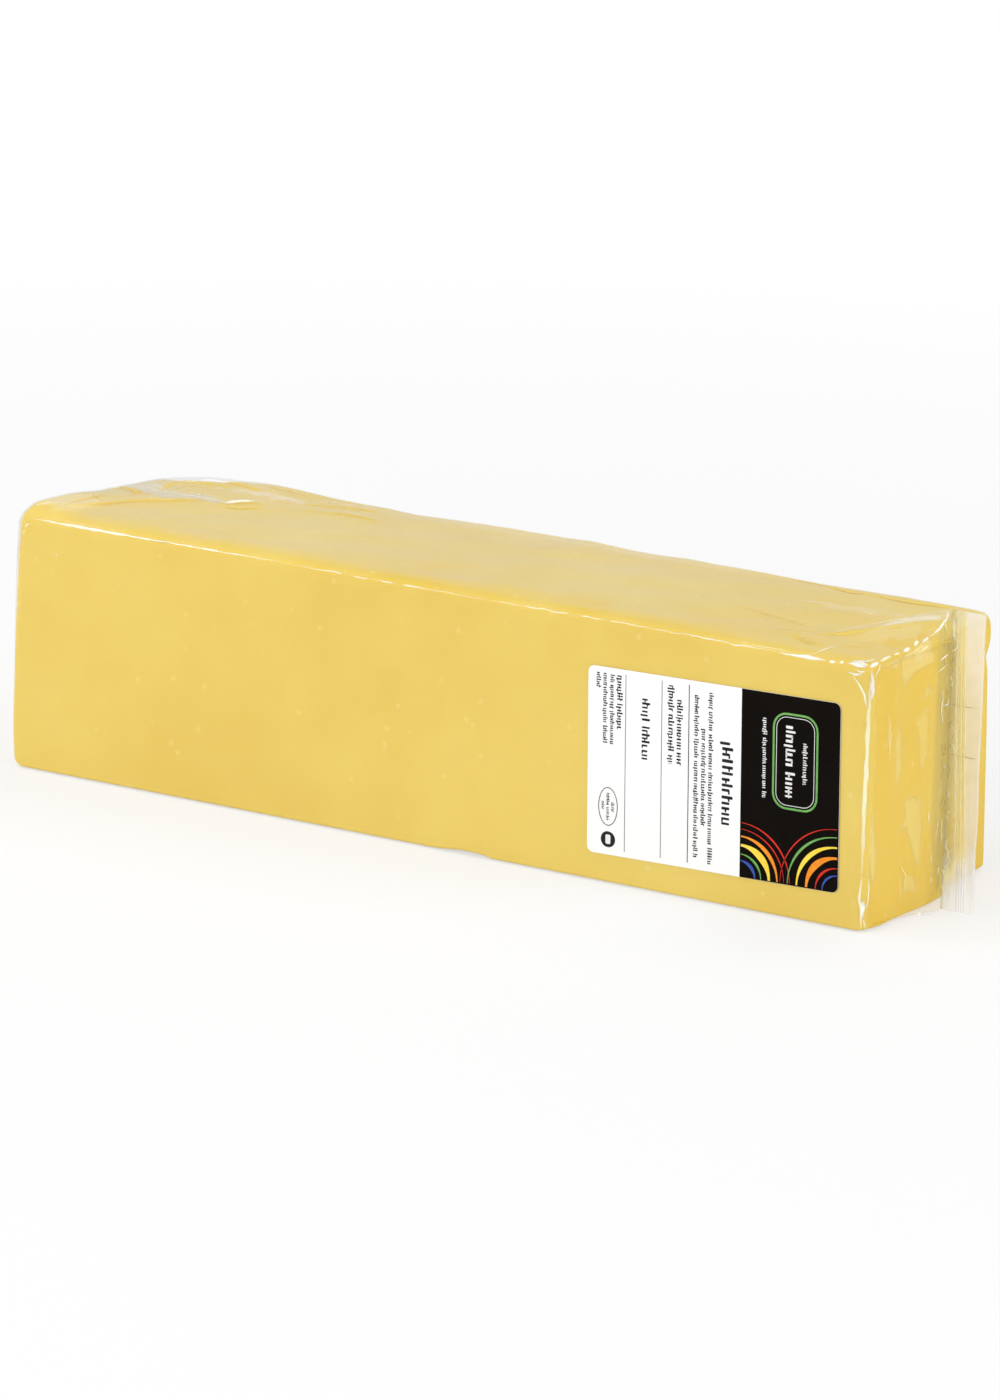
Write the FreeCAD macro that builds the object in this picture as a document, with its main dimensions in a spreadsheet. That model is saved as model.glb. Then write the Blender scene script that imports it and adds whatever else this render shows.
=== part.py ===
"""Gouda block in its sealed clear film pack, with the label on its front face.

Millimetres, +Z up. The origin is the centre of the face that the block rests on:
X runs along the block, with the upright end seal at +X, and the label faces -Y.
"""
import FreeCAD, Part
import math
import os
import Sketcher

# Driving sizes in millimetres and degrees. Each row is an alias, a value and what it measures.
SIZES = [
    ("block_length", 350.0, "cheese along the pack"),
    ("block_width", 90.0, "cheese from the label face to the back"),
    ("block_height", 95.0, "cheese above the resting face"),
    ("base_trim", 3.0, "depth of the lofted cheese that is cut away below its base"),
    ("edge_round", 3.2, "radius of the long edges and of the upright edges"),
    ("worn_round", 8.0, "radius of the top and bottom edges of the worn end"),
    ("bulge_low", 1.2, "foot of the film bulge on the sealed end"),
    ("bulge_high", 92.0, "top of the film bulge on the sealed end"),
    ("fin_place", 4.5, "middle of the end seal, behind the middle plane"),
    ("fin_reach", 18.5, "end seal, from the sealed end to its free edge"),
    ("fin_bed", 4.0, "root of the end seal, bedded in the sealed end"),
    ("fin_top", 105.3, "top of the end seal"),
    ("fin_thick", 0.8, "thickness of the end seal"),
    ("kick_round", 26.7, "bend that lays the foot of the end seal on the table"),
    ("kick_turn", 64.0, "angle of that bend"),
    ("kick_heading", 26.0, "how far the bent foot also turns outwards"),
    ("kick_clear", 0.8, "middle of the bent foot's lower edge above the resting face"),
    ("crimp_start", 7.2, "first crimp rib, beyond the sealed end"),
    ("crimp_pitch", 1.2, "step from one crimp rib to the next"),
    ("crimp_ribs", 5.0, "number of crimp ribs"),
    ("crimp_radius", 0.7, "radius of a crimp rib"),
    ("rib_proud", 0.3, "crimp rib, proud of the folded end seal"),
    ("rib_gap", 6.0, "first crimp rib of the folded end seal from its root"),
    ("tent_tip", 32.0, "tip of the film tent, short of the sealed end"),
    ("tent_tip_side", -19.0, "tip of the film tent across the block"),
    ("tent_rear", 9.0, "rear corner of the film tent, short of the sealed end"),
    ("tent_rear_side", 21.5, "rear corner of the film tent across the block"),
    ("tent_peak", 5.5, "peak of the film tent, beyond the sealed end"),
    ("tent_sink", 1.5, "foot of the film tent, bedded below the top face"),
    ("seam_low", 53.0, "lower edge of the long seam on the back face"),
    ("seam_width", 18.0, "width of the long seam"),
    ("seam_share", 0.65, "height of the long seam as a share of the block's"),
    ("seam_thick", 0.9, "long seam, proud of the back face"),
    ("seam_sink", 2.5, "long seam, bedded below the back face"),
    ("seam_span", 0.985, "length of the long seam as a share of the block's"),
    ("flap_reach", 18.0, "folded end seal from its root to its free edge"),
    ("flap_low", 10.0, "lower edge of the folded end seal"),
    ("flap_high", 84.0, "upper edge of the folded end seal"),
    ("flap_thick", 1.0, "folded end seal, proud of the worn end"),
    ("flap_sink", 2.0, "folded end seal, bedded below the worn end"),
    ("label_length", 99.5, "label along the block"),
    ("label_height", 67.7, "label up the front face"),
    ("label_margin", 10.0, "right edge of the label, short of the sealed end"),
    ("label_foot", 11.3, "lower edge of the label above the resting face"),
    ("label_thick", 0.3, "thickness of the label"),
    ("label_round", 2.5, "corner radius of the label"),
]

# Cross sections of the cheese, from the sealed end to the worn end. Each row is a name, the
# place as a share of half the length, and four differences from the plain block: the heights of
# its front and back top edges, and how far its back stands out at the top and at the foot.
STATIONS = [
    ("sealed_end", 1.0, -0.3, -0.6, -1.0, 2.4),
    ("label_side", 0.57, 0.0, -0.2, 0.0, 0.8),
    ("middle", 0.06, 0.3, 0.3, 0.0, 0.3),
    ("dip", -0.38, 0.0, -0.7, -0.3, 0.0),
    ("swelling", -0.69, 0.2, 0.8, 0.6, 0.4),
    ("worn_corner", -0.84, 0.0, -0.3, 0.0, 0.0),
    ("worn_end", -1.0, -0.6, -6.1, 0.0, 0.0),
]

# Cross sections of the film bulge, from its crown inwards. Each row is a name, the place beyond
# the sealed end, the front and back edges, and its top below the top of the bulge.
BULGE_STEPS = [
    ("bulge_crown", 5.6, -12.0, 2.0, 24.0),
    ("bulge_waist", 3.0, -37.5, 16.0, 8.0),
    ("bulge_foot", -3.0, -44.0, 45.0, 0.0),
]

# The plane of the sealed end, as an expression over the sheet's cells.
SEALED_END = "Sizes.block_length / 2"


def make_sheet(doc):
    """Write every driving size into a spreadsheet, one alias to a row."""
    rows = list(SIZES)
    for name, share, front_top, back_top, lean, foot in STATIONS:
        rows += [
            (name + "_share", share, "section's place as a share of half the length"),
            (name + "_front_top", front_top, "front top edge over the plain block"),
            (name + "_back_top", back_top, "back top edge over the plain block"),
            (name + "_lean", lean, "top of the back face behind the plain block"),
            (name + "_foot", foot, "foot of the back face behind the plain block"),
        ]
    for name, beyond, front, back, drop in BULGE_STEPS:
        rows += [
            (name + "_beyond", beyond, "section beyond the sealed end"),
            (name + "_front", front, "front edge of the bulge"),
            (name + "_back", back, "back edge of the bulge"),
            (name + "_drop", drop, "top of the section below the top of the bulge"),
        ]
    sheet = doc.addObject("Spreadsheet::Sheet", "Sizes")
    for number, (alias, value, meaning) in enumerate(rows, start=1):
        sheet.set("A%d" % number, meaning)
        sheet.set("B%d" % number, "%g" % value)
        sheet.setAlias("B%d" % number, alias)
    doc.recompute()


def size(expression):
    """Value of an expression over the sheet's cells."""
    return float(FreeCAD.ActiveDocument.Sizes.evalExpression(expression))


def origin_feature(body, role):
    """One of a body's own origin planes or axes, found by its role."""
    return next(item for item in body.Origin.OriginFeatures if item.Role == role)


def new_sketch(body, name, plane_role, offset="0", across="0", heading="0"):
    """Add a sketch on an origin plane.

    The sketch is moved along the plane's normal by offset and along its own first axis by
    across, and turned about its own second axis by heading. All three are expressions.
    """
    sketch = body.newObject("Sketcher::SketchObject", name)
    sketch.AttachmentSupport = [(origin_feature(body, plane_role), "")]
    sketch.MapMode = "FlatFace"
    sketch.AttachmentOffset = FreeCAD.Placement(
        FreeCAD.Vector(size(across), 0, size(offset)),
        FreeCAD.Rotation(FreeCAD.Vector(0, 1, 0), size(heading)))
    sketch.setExpression(".AttachmentOffset.Base.x", across)
    sketch.setExpression(".AttachmentOffset.Base.z", offset)
    if heading != "0":
        sketch.setExpression(".AttachmentOffset.Rotation.Angle", heading)
    return sketch


def bind(sketch, name, kind, places, expression):
    """Add a dimension to a sketch and bind it to an expression over the sheet's cells."""
    index = sketch.addConstraint(Sketcher.Constraint(kind, *places, size(expression)))
    sketch.renameConstraint(index, name)
    sketch.setExpression("Constraints." + name, expression)


def bind_point(sketch, name, geometry, end, across, up):
    """Hold one end of a line or arc at the place that two expressions give."""
    bind(sketch, name + "_across", "DistanceX", (-1, 1, geometry, end), across)
    bind(sketch, name + "_up", "DistanceY", (-1, 1, geometry, end), up)


def draw_polygon(sketch, corners):
    """Draw a closed outline whose corners are pairs of expressions."""
    points = [FreeCAD.Vector(size(across), size(up), 0) for across, up in corners]
    for start, end in zip(points, points[1:] + points[:1]):
        sketch.addGeometry(Part.LineSegment(start, end), False)
    for line, (across, up) in enumerate(corners):
        sketch.addConstraint(Sketcher.Constraint("Coincident", line, 2, (line + 1) % len(corners), 1))
        bind_point(sketch, "corner_%d" % line, line, 1, across, up)


def rectangle(low_across, high_across, low_up, high_up):
    """Corners of an upright rectangle, anticlockwise from its lower left corner."""
    return [(low_across, low_up), (high_across, low_up), (high_across, high_up), (low_across, high_up)]


def loft(body, name, sketches, ruled=False):
    """Add a loft through a row of outlines."""
    feature = body.newObject("PartDesign::AdditiveLoft", name)
    feature.Profile = sketches[0]
    feature.Sections = sketches[1:]
    feature.Ruled = ruled
    body.Document.recompute()
    return feature


def pad(body, name, sketch, length):
    """Add a pad along the sketch's normal, of a length that is an expression."""
    feature = body.newObject("PartDesign::Pad", name)
    feature.Profile = sketch
    feature.setExpression("Length", length)
    body.Document.recompute()
    return feature


def pocket(body, name, sketch, both_ways=False):
    """Cut through the body against the sketch's normal, or on both sides of the sketch."""
    before = body.Shape.Volume
    feature = body.newObject("PartDesign::Pocket", name)
    feature.Profile = sketch
    feature.Type = "ThroughAll"
    feature.Midplane = both_ways
    body.Document.recompute()
    if body.Shape.Volume >= before:
        raise RuntimeError("%s cuts nothing" % name)
    return feature


def sweep(body, name, profile, path):
    """Add a pipe that carries a level profile along a path without turning it."""
    feature = body.newObject("PartDesign::AdditivePipe", name)
    feature.Profile = profile
    feature.Spine = path
    feature.Mode = "Fixed"
    body.Document.recompute()
    return feature


def repeat(body, name, feature, axis_role):
    """Repeat a crimp rib in a row along an origin axis."""
    pattern = body.newObject("PartDesign::LinearPattern", name)
    pattern.Originals = [feature]
    pattern.Direction = (origin_feature(body, axis_role), [""])
    pattern.setExpression("Occurrences", "Sizes.crimp_ribs")
    pattern.setExpression("Length", "Sizes.crimp_pitch * (Sizes.crimp_ribs - 1)")
    body.Tip = pattern
    body.Document.recompute()


def fillet(body, name, base, radius, wanted):
    """Round the edges of the base feature for which wanted(edge) is true."""
    names = ["Edge%d" % number for number, edge in enumerate(base.Shape.Edges, start=1) if wanted(edge)]
    feature = body.newObject("PartDesign::Fillet", name)
    feature.Base = (base, names)
    feature.setExpression("Radius", radius)
    body.Document.recompute()
    return feature


def add_cheese(body):
    """Loft the cheese through its cross sections, cut its base flat and round its edges."""
    sketches = []
    for name, *_ in STATIONS:
        sketch = new_sketch(body, name, "YZ_Plane", "%s * Sizes.%s_share" % (SEALED_END, name))
        draw_polygon(sketch, [
            ("-Sizes.block_width / 2", "-Sizes.base_trim"),
            ("Sizes.block_width / 2 + Sizes.%s_foot" % name, "-Sizes.base_trim"),
            ("Sizes.block_width / 2 + Sizes.%s_lean" % name,
             "Sizes.block_height + Sizes.%s_back_top" % name),
            ("-Sizes.block_width / 2", "Sizes.block_height + Sizes.%s_front_top" % name),
        ])
        sketches.append(sketch)
    loft(body, "Cheese", sketches)
    trim = new_sketch(body, "base_outline", "XY_Plane")
    draw_polygon(trim, rectangle(
        "-Sizes.block_length", "Sizes.block_length", "-Sizes.block_width", "Sizes.block_width"))
    block = pocket(body, "FlatBase", trim)
    end = size(SEALED_END)

    def at_end(edge, sign):
        """Whether both ends of an edge lie in the plane of one end of the block."""
        return all(abs(vertex.X - sign * end) < 0.01 for vertex in edge.Vertexes)

    def crosses_worn_end(edge):
        """Whether an edge is the top or the bottom edge of the worn end."""
        front, back = edge.Vertexes[0], edge.Vertexes[-1]
        return at_end(edge, -1) and abs(front.Y - back.Y) > abs(front.Z - back.Z)

    worn = fillet(body, "WornEdges", block, "Sizes.worn_round", crosses_worn_end)

    def is_sharp(edge):
        """Whether an edge of the block is still sharp: the sealed end's, the long and upright ones."""
        ends = edge.Vertexes
        is_upright = at_end(edge, -1) and abs(ends[0].Z - ends[-1].Z) > abs(ends[0].Y - ends[-1].Y)
        is_long = abs(ends[0].X - ends[-1].X) > end
        return is_upright or is_long or at_end(edge, 1)

    fillet(body, "Edges", worn, "Sizes.edge_round", is_sharp)


def add_bulge(body):
    """Add the film that is drawn out from the sealed end to the end seal."""
    sketches = []
    for name, *_ in BULGE_STEPS:
        sketch = new_sketch(body, name, "YZ_Plane", "%s + Sizes.%s_beyond" % (SEALED_END, name))
        draw_polygon(sketch, rectangle(
            "Sizes.%s_front" % name, "Sizes.%s_back" % name,
            "Sizes.bulge_low", "Sizes.bulge_high - Sizes.%s_drop" % name))
        sketches.append(sketch)
    loft(body, "Bulge", sketches, ruled=True)


def add_tent(body):
    """Add the tent of film that climbs from the top face to the top of the end seal."""
    inner = SEALED_END + " - 2 * Sizes.tent_sink"
    centre = SEALED_END + " + Sizes.tent_peak"
    foot = new_sketch(body, "tent_foot", "XY_Plane", "Sizes.block_height - Sizes.tent_sink")
    draw_polygon(foot, [
        (SEALED_END + " - Sizes.tent_tip", "Sizes.tent_tip_side"),
        (inner, "Sizes.tent_tip_side / 2"),
        (centre + " - Sizes.tent_sink", "Sizes.fin_place"),
        (inner, "Sizes.tent_rear_side / 2"),
        (SEALED_END + " - Sizes.tent_rear", "Sizes.tent_rear_side"),
    ])
    peak = new_sketch(body, "tent_peak", "XY_Plane", "Sizes.fin_top - Sizes.fin_thick / 2")
    draw_polygon(peak, [
        (centre + " - Sizes.fin_thick", "Sizes.fin_place - Sizes.fin_thick / 4"),
        (centre, "Sizes.fin_place - Sizes.fin_thick / 2"),
        (centre + " + Sizes.fin_thick", "Sizes.fin_place"),
        (centre, "Sizes.fin_place + Sizes.fin_thick / 2"),
        (centre + " - Sizes.fin_thick", "Sizes.fin_place + Sizes.fin_thick / 4"),
    ])
    loft(body, "Tent", [peak, foot], ruled=True)


def add_fin_path(body):
    """Draw the path of the end seal: straight down from its top, then bent onto the table."""
    path = new_sketch(body, "fin_path", "YZ_Plane", SEALED_END, "Sizes.fin_place", "Sizes.kick_heading")
    radius, turn = size("Sizes.kick_round"), math.radians(size("Sizes.kick_turn"))
    top, foot = size("Sizes.fin_top"), size("Sizes.kick_clear")
    knee = foot + radius * math.sin(turn)
    path.addGeometry(Part.LineSegment(FreeCAD.Vector(0, top, 0), FreeCAD.Vector(0, knee, 0)), False)
    bend = Part.Circle(FreeCAD.Vector(-radius, knee, 0), FreeCAD.Vector(0, 0, 1), radius)
    path.addGeometry(Part.ArcOfCircle(bend, -turn, 0), False)
    path.addConstraint(Sketcher.Constraint("Tangent", 0, 2, 1, 2))
    path.addConstraint(Sketcher.Constraint("Vertical", 0))
    bind_point(path, "top", 0, 1, "0", "Sizes.fin_top")
    bind(path, "bend", "Radius", (1,), "Sizes.kick_round")
    bind_point(path, "foot", 1, 1, "-Sizes.kick_round * (1 - cos(Sizes.kick_turn))", "Sizes.kick_clear")
    return path


def add_end_seal(body):
    """Add the upright end seal: a thin fin, its crimp ribs and the end of the long seam in it.

    Above the block the fin starts at the tent's peak, so the film short of it is cut away.
    """
    path = add_fin_path(body)
    root = SEALED_END + " - Sizes.fin_bed"
    fin = new_sketch(body, "fin_profile", "XY_Plane", "Sizes.fin_top")
    draw_polygon(fin, rectangle(
        root, SEALED_END + " + Sizes.fin_reach",
        "Sizes.fin_place - Sizes.fin_thick / 2", "Sizes.fin_place + Sizes.fin_thick / 2"))
    sweep(body, "EndSeal", fin, path)
    spare = new_sketch(body, "spare_film", "XZ_Plane")
    draw_polygon(spare, rectangle(
        root + " - Sizes.fin_bed", SEALED_END + " + Sizes.tent_peak",
        "Sizes.block_height + Sizes.tent_sink", "Sizes.fin_top + Sizes.tent_sink"))
    pocket(body, "SpareFilm", spare, both_ways=True)
    rib = new_sketch(body, "rib_profile", "XY_Plane", "Sizes.fin_top")
    first = SEALED_END + " + Sizes.crimp_start"
    middle = FreeCAD.Vector(size(first), size("Sizes.fin_place"), 0)
    rib.addGeometry(Part.Circle(middle, FreeCAD.Vector(0, 0, 1), size("Sizes.crimp_radius")), False)
    bind_point(rib, "middle", 0, 3, first, "Sizes.fin_place")
    bind(rib, "round", "Radius", (0,), "Sizes.crimp_radius")
    repeat(body, "CrimpRibs", sweep(body, "CrimpRib", rib, path), "X_Axis")
    seam = new_sketch(body, "seam_in_fin", "YZ_Plane", root)
    draw_polygon(seam, rectangle(
        "Sizes.fin_place", "Sizes.fin_place + Sizes.fin_thick",
        "Sizes.seam_low", "Sizes.seam_low + Sizes.seam_width"))
    pad(body, "SeamInFin", seam, "Sizes.fin_bed + Sizes.fin_reach")


def add_long_seam(body):
    """Add the long seam of the film, folded flat along the back face."""
    sketches = []
    for name, *_ in STATIONS:
        face = ("Sizes.block_width / 2 + Sizes.%s_foot * (1 - Sizes.seam_share)"
                " + Sizes.%s_lean * Sizes.seam_share" % (name, name))
        sketch = new_sketch(body, "seam_" + name, "YZ_Plane",
                            "%s * Sizes.%s_share * Sizes.seam_span" % (SEALED_END, name))
        draw_polygon(sketch, rectangle(
            face + " - Sizes.seam_sink", face + " + Sizes.seam_thick",
            "Sizes.seam_low", "Sizes.seam_low + Sizes.seam_width"))
        sketches.append(sketch)
    loft(body, "LongSeam", sketches)


def add_folded_seal(body):
    """Add the other end seal, folded flat against the worn end, with its crimp ribs."""
    worn_end = "-%s - Sizes.flap_thick" % SEALED_END
    flap = new_sketch(body, "flap", "YZ_Plane", worn_end)
    draw_polygon(flap, rectangle(
        "Sizes.fin_place", "Sizes.fin_place + Sizes.flap_reach", "Sizes.flap_low", "Sizes.flap_high"))
    pad(body, "FoldedSeal", flap, "Sizes.flap_thick + Sizes.flap_sink")
    rib = new_sketch(body, "flap_rib", "YZ_Plane", worn_end + " - Sizes.rib_proud")
    first = "Sizes.fin_place + Sizes.rib_gap"
    draw_polygon(rib, rectangle(
        first + " - Sizes.crimp_pitch / 4", first + " + Sizes.crimp_pitch / 4",
        "Sizes.flap_low", "Sizes.flap_high"))
    repeat(body, "FlapRibs", pad(body, "FlapRib", rib, "Sizes.rib_proud + Sizes.flap_thick"), "Y_Axis")


def add_label(body):
    """Build the label: a thin plate with rounded corners, flat on the front face."""
    outline = new_sketch(body, "label_outline", "XZ_Plane", "Sizes.block_width / 2")
    right = SEALED_END + " - Sizes.label_margin"
    draw_polygon(outline, rectangle(
        right + " - Sizes.label_length", right,
        "Sizes.label_foot", "Sizes.label_foot + Sizes.label_height"))
    plate = pad(body, "Plate", outline, "Sizes.label_thick")
    thickness = size("Sizes.label_thick")

    def is_corner(edge):
        """Whether an edge runs through the thickness of the plate."""
        return abs(edge.Length - thickness) < 0.01

    fillet(body, "Corners", plate, "Sizes.label_round", is_corner)


def check(doc, bodies):
    """Stop unless every object is up to date and every body holds one valid solid."""
    for item in doc.Objects:
        if "Invalid" in item.State or "Error" in item.State:
            raise RuntimeError("%s is %s" % (item.Name, item.State))
    for body in bodies:
        if body.Shape.isNull() or not body.Shape.isValid() or len(body.Shape.Solids) != 1:
            raise RuntimeError("%s is not one valid solid" % body.Label)


def new_body(doc, label):
    """Add an empty body that stands for one piece."""
    body = doc.addObject("PartDesign::Body", label)
    body.Label = label
    return body


doc = FreeCAD.newDocument("GoudaBlock")
make_sheet(doc)
pack = new_body(doc, "sealed_pack")
for add_feature in (add_cheese, add_bulge, add_end_seal, add_tent, add_long_seam, add_folded_seal):
    add_feature(pack)
label = new_body(doc, "label")
add_label(label)
doc.recompute()
check(doc, [pack, label])
os.makedirs("parts", exist_ok=True)
for body in (pack, label):
    body.Shape.exportStep("parts/%s.step" % body.Label)
    print("%s: %.0f cubic millimetres" % (body.Label, body.Shape.Volume))
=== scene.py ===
"""A gouda block in its sealed clear film pack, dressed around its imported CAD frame.

Sizes inside the classes are in millimetres in the frame's own axes: X runs along the block
towards the upright end seal, -Y is the label face, Z is up from the resting face. Every mesh
is turned into metres when it is made, and every object stays at the origin.
"""
import logging
from dataclasses import dataclass
from enum import Enum
from typing import Sequence

import bpy
import numpy as np
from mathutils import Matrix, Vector


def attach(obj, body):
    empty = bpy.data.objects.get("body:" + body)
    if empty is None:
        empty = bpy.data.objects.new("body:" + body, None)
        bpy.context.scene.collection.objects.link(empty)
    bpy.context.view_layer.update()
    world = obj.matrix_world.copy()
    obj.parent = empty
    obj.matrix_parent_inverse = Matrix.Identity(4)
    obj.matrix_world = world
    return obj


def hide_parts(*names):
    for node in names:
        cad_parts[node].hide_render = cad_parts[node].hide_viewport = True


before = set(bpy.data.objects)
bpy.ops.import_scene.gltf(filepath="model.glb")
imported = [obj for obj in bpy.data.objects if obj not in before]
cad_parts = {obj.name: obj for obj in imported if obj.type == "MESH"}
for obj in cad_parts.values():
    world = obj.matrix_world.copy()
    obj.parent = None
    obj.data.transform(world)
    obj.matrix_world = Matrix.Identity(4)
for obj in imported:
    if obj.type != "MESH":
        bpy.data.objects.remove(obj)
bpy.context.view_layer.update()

LOG = logging.getLogger("gouda_block")
MM = 0.001
TINY = 1e-9
Array = np.ndarray
Colour = tuple[float, float, float]
Points = Sequence[tuple[float, float]]


# ---------------------------------------------------------------- numbers


def ease(low: float, high: float, value: Array) -> Array:
    """Rise smoothly from 0 at low to 1 at high.

    Args:
        low: value at which the result leaves 0.
        high: value at which the result reaches 1; it may lie below low.
        value: numbers to place between them.

    Returns:
        The share 3t^2 - 2t^3 of the way, t being held between 0 and 1.
    """
    t = np.clip((np.asarray(value, float) - low) / (high - low), 0.0, 1.0)
    return t * t * (3.0 - 2.0 * t)


def wander(u: Array, v: Array, span: float, seed: int, waves: int = 7) -> Array:
    """Smooth irregular relief between about -1 and 1.

    The formula is a sum of plane sine waves with seeded headings and phases, whose lengths lie
    between 0.6 and 1.6 spans.

    Args:
        u: first coordinate.
        v: second coordinate.
        span: typical length of a wave, in the units of u and v.
        seed: number that fixes the headings and phases.
        waves: how many waves are added.

    Returns:
        The relief at each point.
    """
    rng = np.random.default_rng(seed)
    heading = rng.uniform(0.0, 2.0 * np.pi, waves)
    length = span * rng.uniform(0.6, 1.6, waves)
    phase = rng.uniform(0.0, 2.0 * np.pi, waves)
    along = np.multiply.outer(u, np.cos(heading)) + np.multiply.outer(v, np.sin(heading))
    return np.sin(2.0 * np.pi * along / length + phase).sum(-1) / np.sqrt(2.0 * waves)


def waver(place: Array, span: float, seed: int) -> Array:
    """The same relief along a line."""
    return wander(place, 0.0 * place, span, seed)


def within(u: Array, v: Array, corners: Points, soft: float) -> Array:
    """Cover of a polygon with soft sides.

    Args:
        u: first coordinate.
        v: second coordinate.
        corners: the polygon's corners in order.
        soft: half the width of the easing at its sides.

    Returns:
        1 inside, easing to 0 outside, by the distance to the nearest side.
    """
    line = np.asarray(corners, float)
    far = np.full(np.shape(u), np.inf)
    inside = np.zeros(np.shape(u), bool)
    for (ax, ay), (bx, by) in zip(line, np.roll(line, -1, axis=0)):
        run, rise = bx - ax, by - ay
        share = np.clip(((u - ax) * run + (v - ay) * rise) / (run ** 2 + rise ** 2), 0.0, 1.0)
        far = np.minimum(far, np.hypot(u - ax - share * run, v - ay - share * rise))
        inside ^= ((ay > v) != (by > v)) & (u < ax + run * (v - ay) / (rise + TINY))
    return ease(-soft, soft, np.where(inside, far, -far))


def resample(points: Points, step: float) -> Array:
    """Place points at even steps along a broken line.

    Args:
        points: corners of the line.
        step: greatest distance between two of the new points.

    Returns:
        The new points, four or more.
    """
    line = np.asarray(points, float)
    run = np.concatenate([[0.0], np.cumsum(np.linalg.norm(np.diff(line, axis=0), axis=1))])
    count = max(4, int(np.ceil(run[-1] / step)) + 1)
    place = np.linspace(0.0, run[-1], count)
    return np.stack([np.interp(place, run, line[:, k]) for k in range(line.shape[1])], axis=1)


def unit(ways: Array) -> Array:
    """Directions scaled to length 1."""
    return ways / (np.linalg.norm(ways, axis=-1, keepdims=True) + TINY)


# ---------------------------------------------------------------- meshes


def grid_faces(rows: int, columns: int) -> list[list[int]]:
    """Faces of a closed skin whose rows of points are rings.

    Args:
        rows: number of rings.
        columns: number of points in a ring.

    Returns:
        Point numbers of the quads between the rings, then of one face over each end.
    """
    row = np.arange(rows - 1)[:, None]
    column = np.arange(columns)[None, :]
    after = (column + 1) % columns
    corners = [row * columns + column, (row + 1) * columns + column,
               (row + 1) * columns + after, row * columns + after]
    quads = np.stack([c.reshape(-1) for c in np.broadcast_arrays(*corners)], axis=1)
    last = (rows - 1) * columns + np.arange(columns)
    return [*quads.tolist(), list(range(columns)), last[::-1].tolist()]


def make_piece(name: str, points: Array, faces: Sequence[Sequence[int]], material: bpy.types.Material,
               fields: dict[str, Array] | None = None, smooth: bool = True) -> bpy.types.Object:
    """Make a mesh object of the part from points in millimetres.

    Args:
        name: name of the piece.
        points: one row of x, y, z to a point.
        faces: point numbers of each face, in order round its outside.
        material: finish of the whole piece.
        fields: numbers kept at each point, under the names that the finish reads.
        smooth: whether the faces are shaded smoothly.

    Returns:
        The object, at the origin and riding on the root body.
    """
    mesh = bpy.data.meshes.new(name)
    mesh.from_pydata((np.asarray(points, float) * MM).tolist(), [], faces)
    mesh.validate()
    for key, values in (fields or {}).items():
        layer = mesh.attributes.new(key, "FLOAT", "POINT")
        layer.data.foreach_set("value", np.asarray(values, np.float32).reshape(-1))
    mesh.polygons.foreach_set("use_smooth", [smooth] * len(mesh.polygons))
    mesh.materials.append(material)
    piece = bpy.data.objects.new(name, mesh)
    bpy.context.scene.collection.objects.link(piece)
    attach(piece, "root")
    return piece


def make_skin(name: str, rings: Array, material: bpy.types.Material,
              fields: dict[str, Array] | None = None) -> bpy.types.Object:
    """Make a closed skin of the sealed pack, in place of its CAD solid.

    Args:
        name: name of the piece.
        rings: points ring by ring, each ring counter-clockwise seen from the last one.
        material: finish of the skin.
        fields: numbers kept at each point, under the names that the finish reads.

    Returns:
        The piece.
    """
    piece = make_piece(name, rings.reshape(-1, 3), grid_faces(*rings.shape[:2]), material,
                       fields)
    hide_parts("sealed_pack")
    return piece


# ---------------------------------------------------------------- the form of the block


# Two wrinkles of the top face near the worn end, as lines in x and y.
FRONT_WRINKLE = ((-160, -32), (-155, -21), (-149.8, -12.7), (-142.5, -7.2), (-133.7, -0.7), (-126.8, 5.3))
REAR_WRINKLE = ((-145, 36), (-137, 36.4), (-128, 34), (-119, 30))

# Pleats of the film on the top face: line, width and height.
TOP_PLEATS = (
    (FRONT_WRINKLE, 3.0, 0.7),
    (((-172, 10), (-166, 11.5), (-158, 7), (-152, 2)), 2.6, 0.6),
    (((-152, 15), (-152.5, 21), (-149, 28), (-141, 28.6), (-134, 29.4)), 2.4, 0.8),
    (((-118, 6), (-114, 9.6), (-110.3, 13.0), (-107, 15)), 2.4, 0.9),
    (REAR_WRINKLE, 2.6, 0.6),
    (((-92, 26), (-84.4, 30.5), (-72, 33)), 2.2, 0.5),
    (((-88, 18), (-76, 20.2), (-65, 20.5)), 2.2, 0.4),
    (((116, 14), (123, 14.6), (131, 14.6)), 1.6, 0.3),
    (((150, -44), (152.7, -40), (154.5, -31)), 1.2, 0.4),
)


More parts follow.
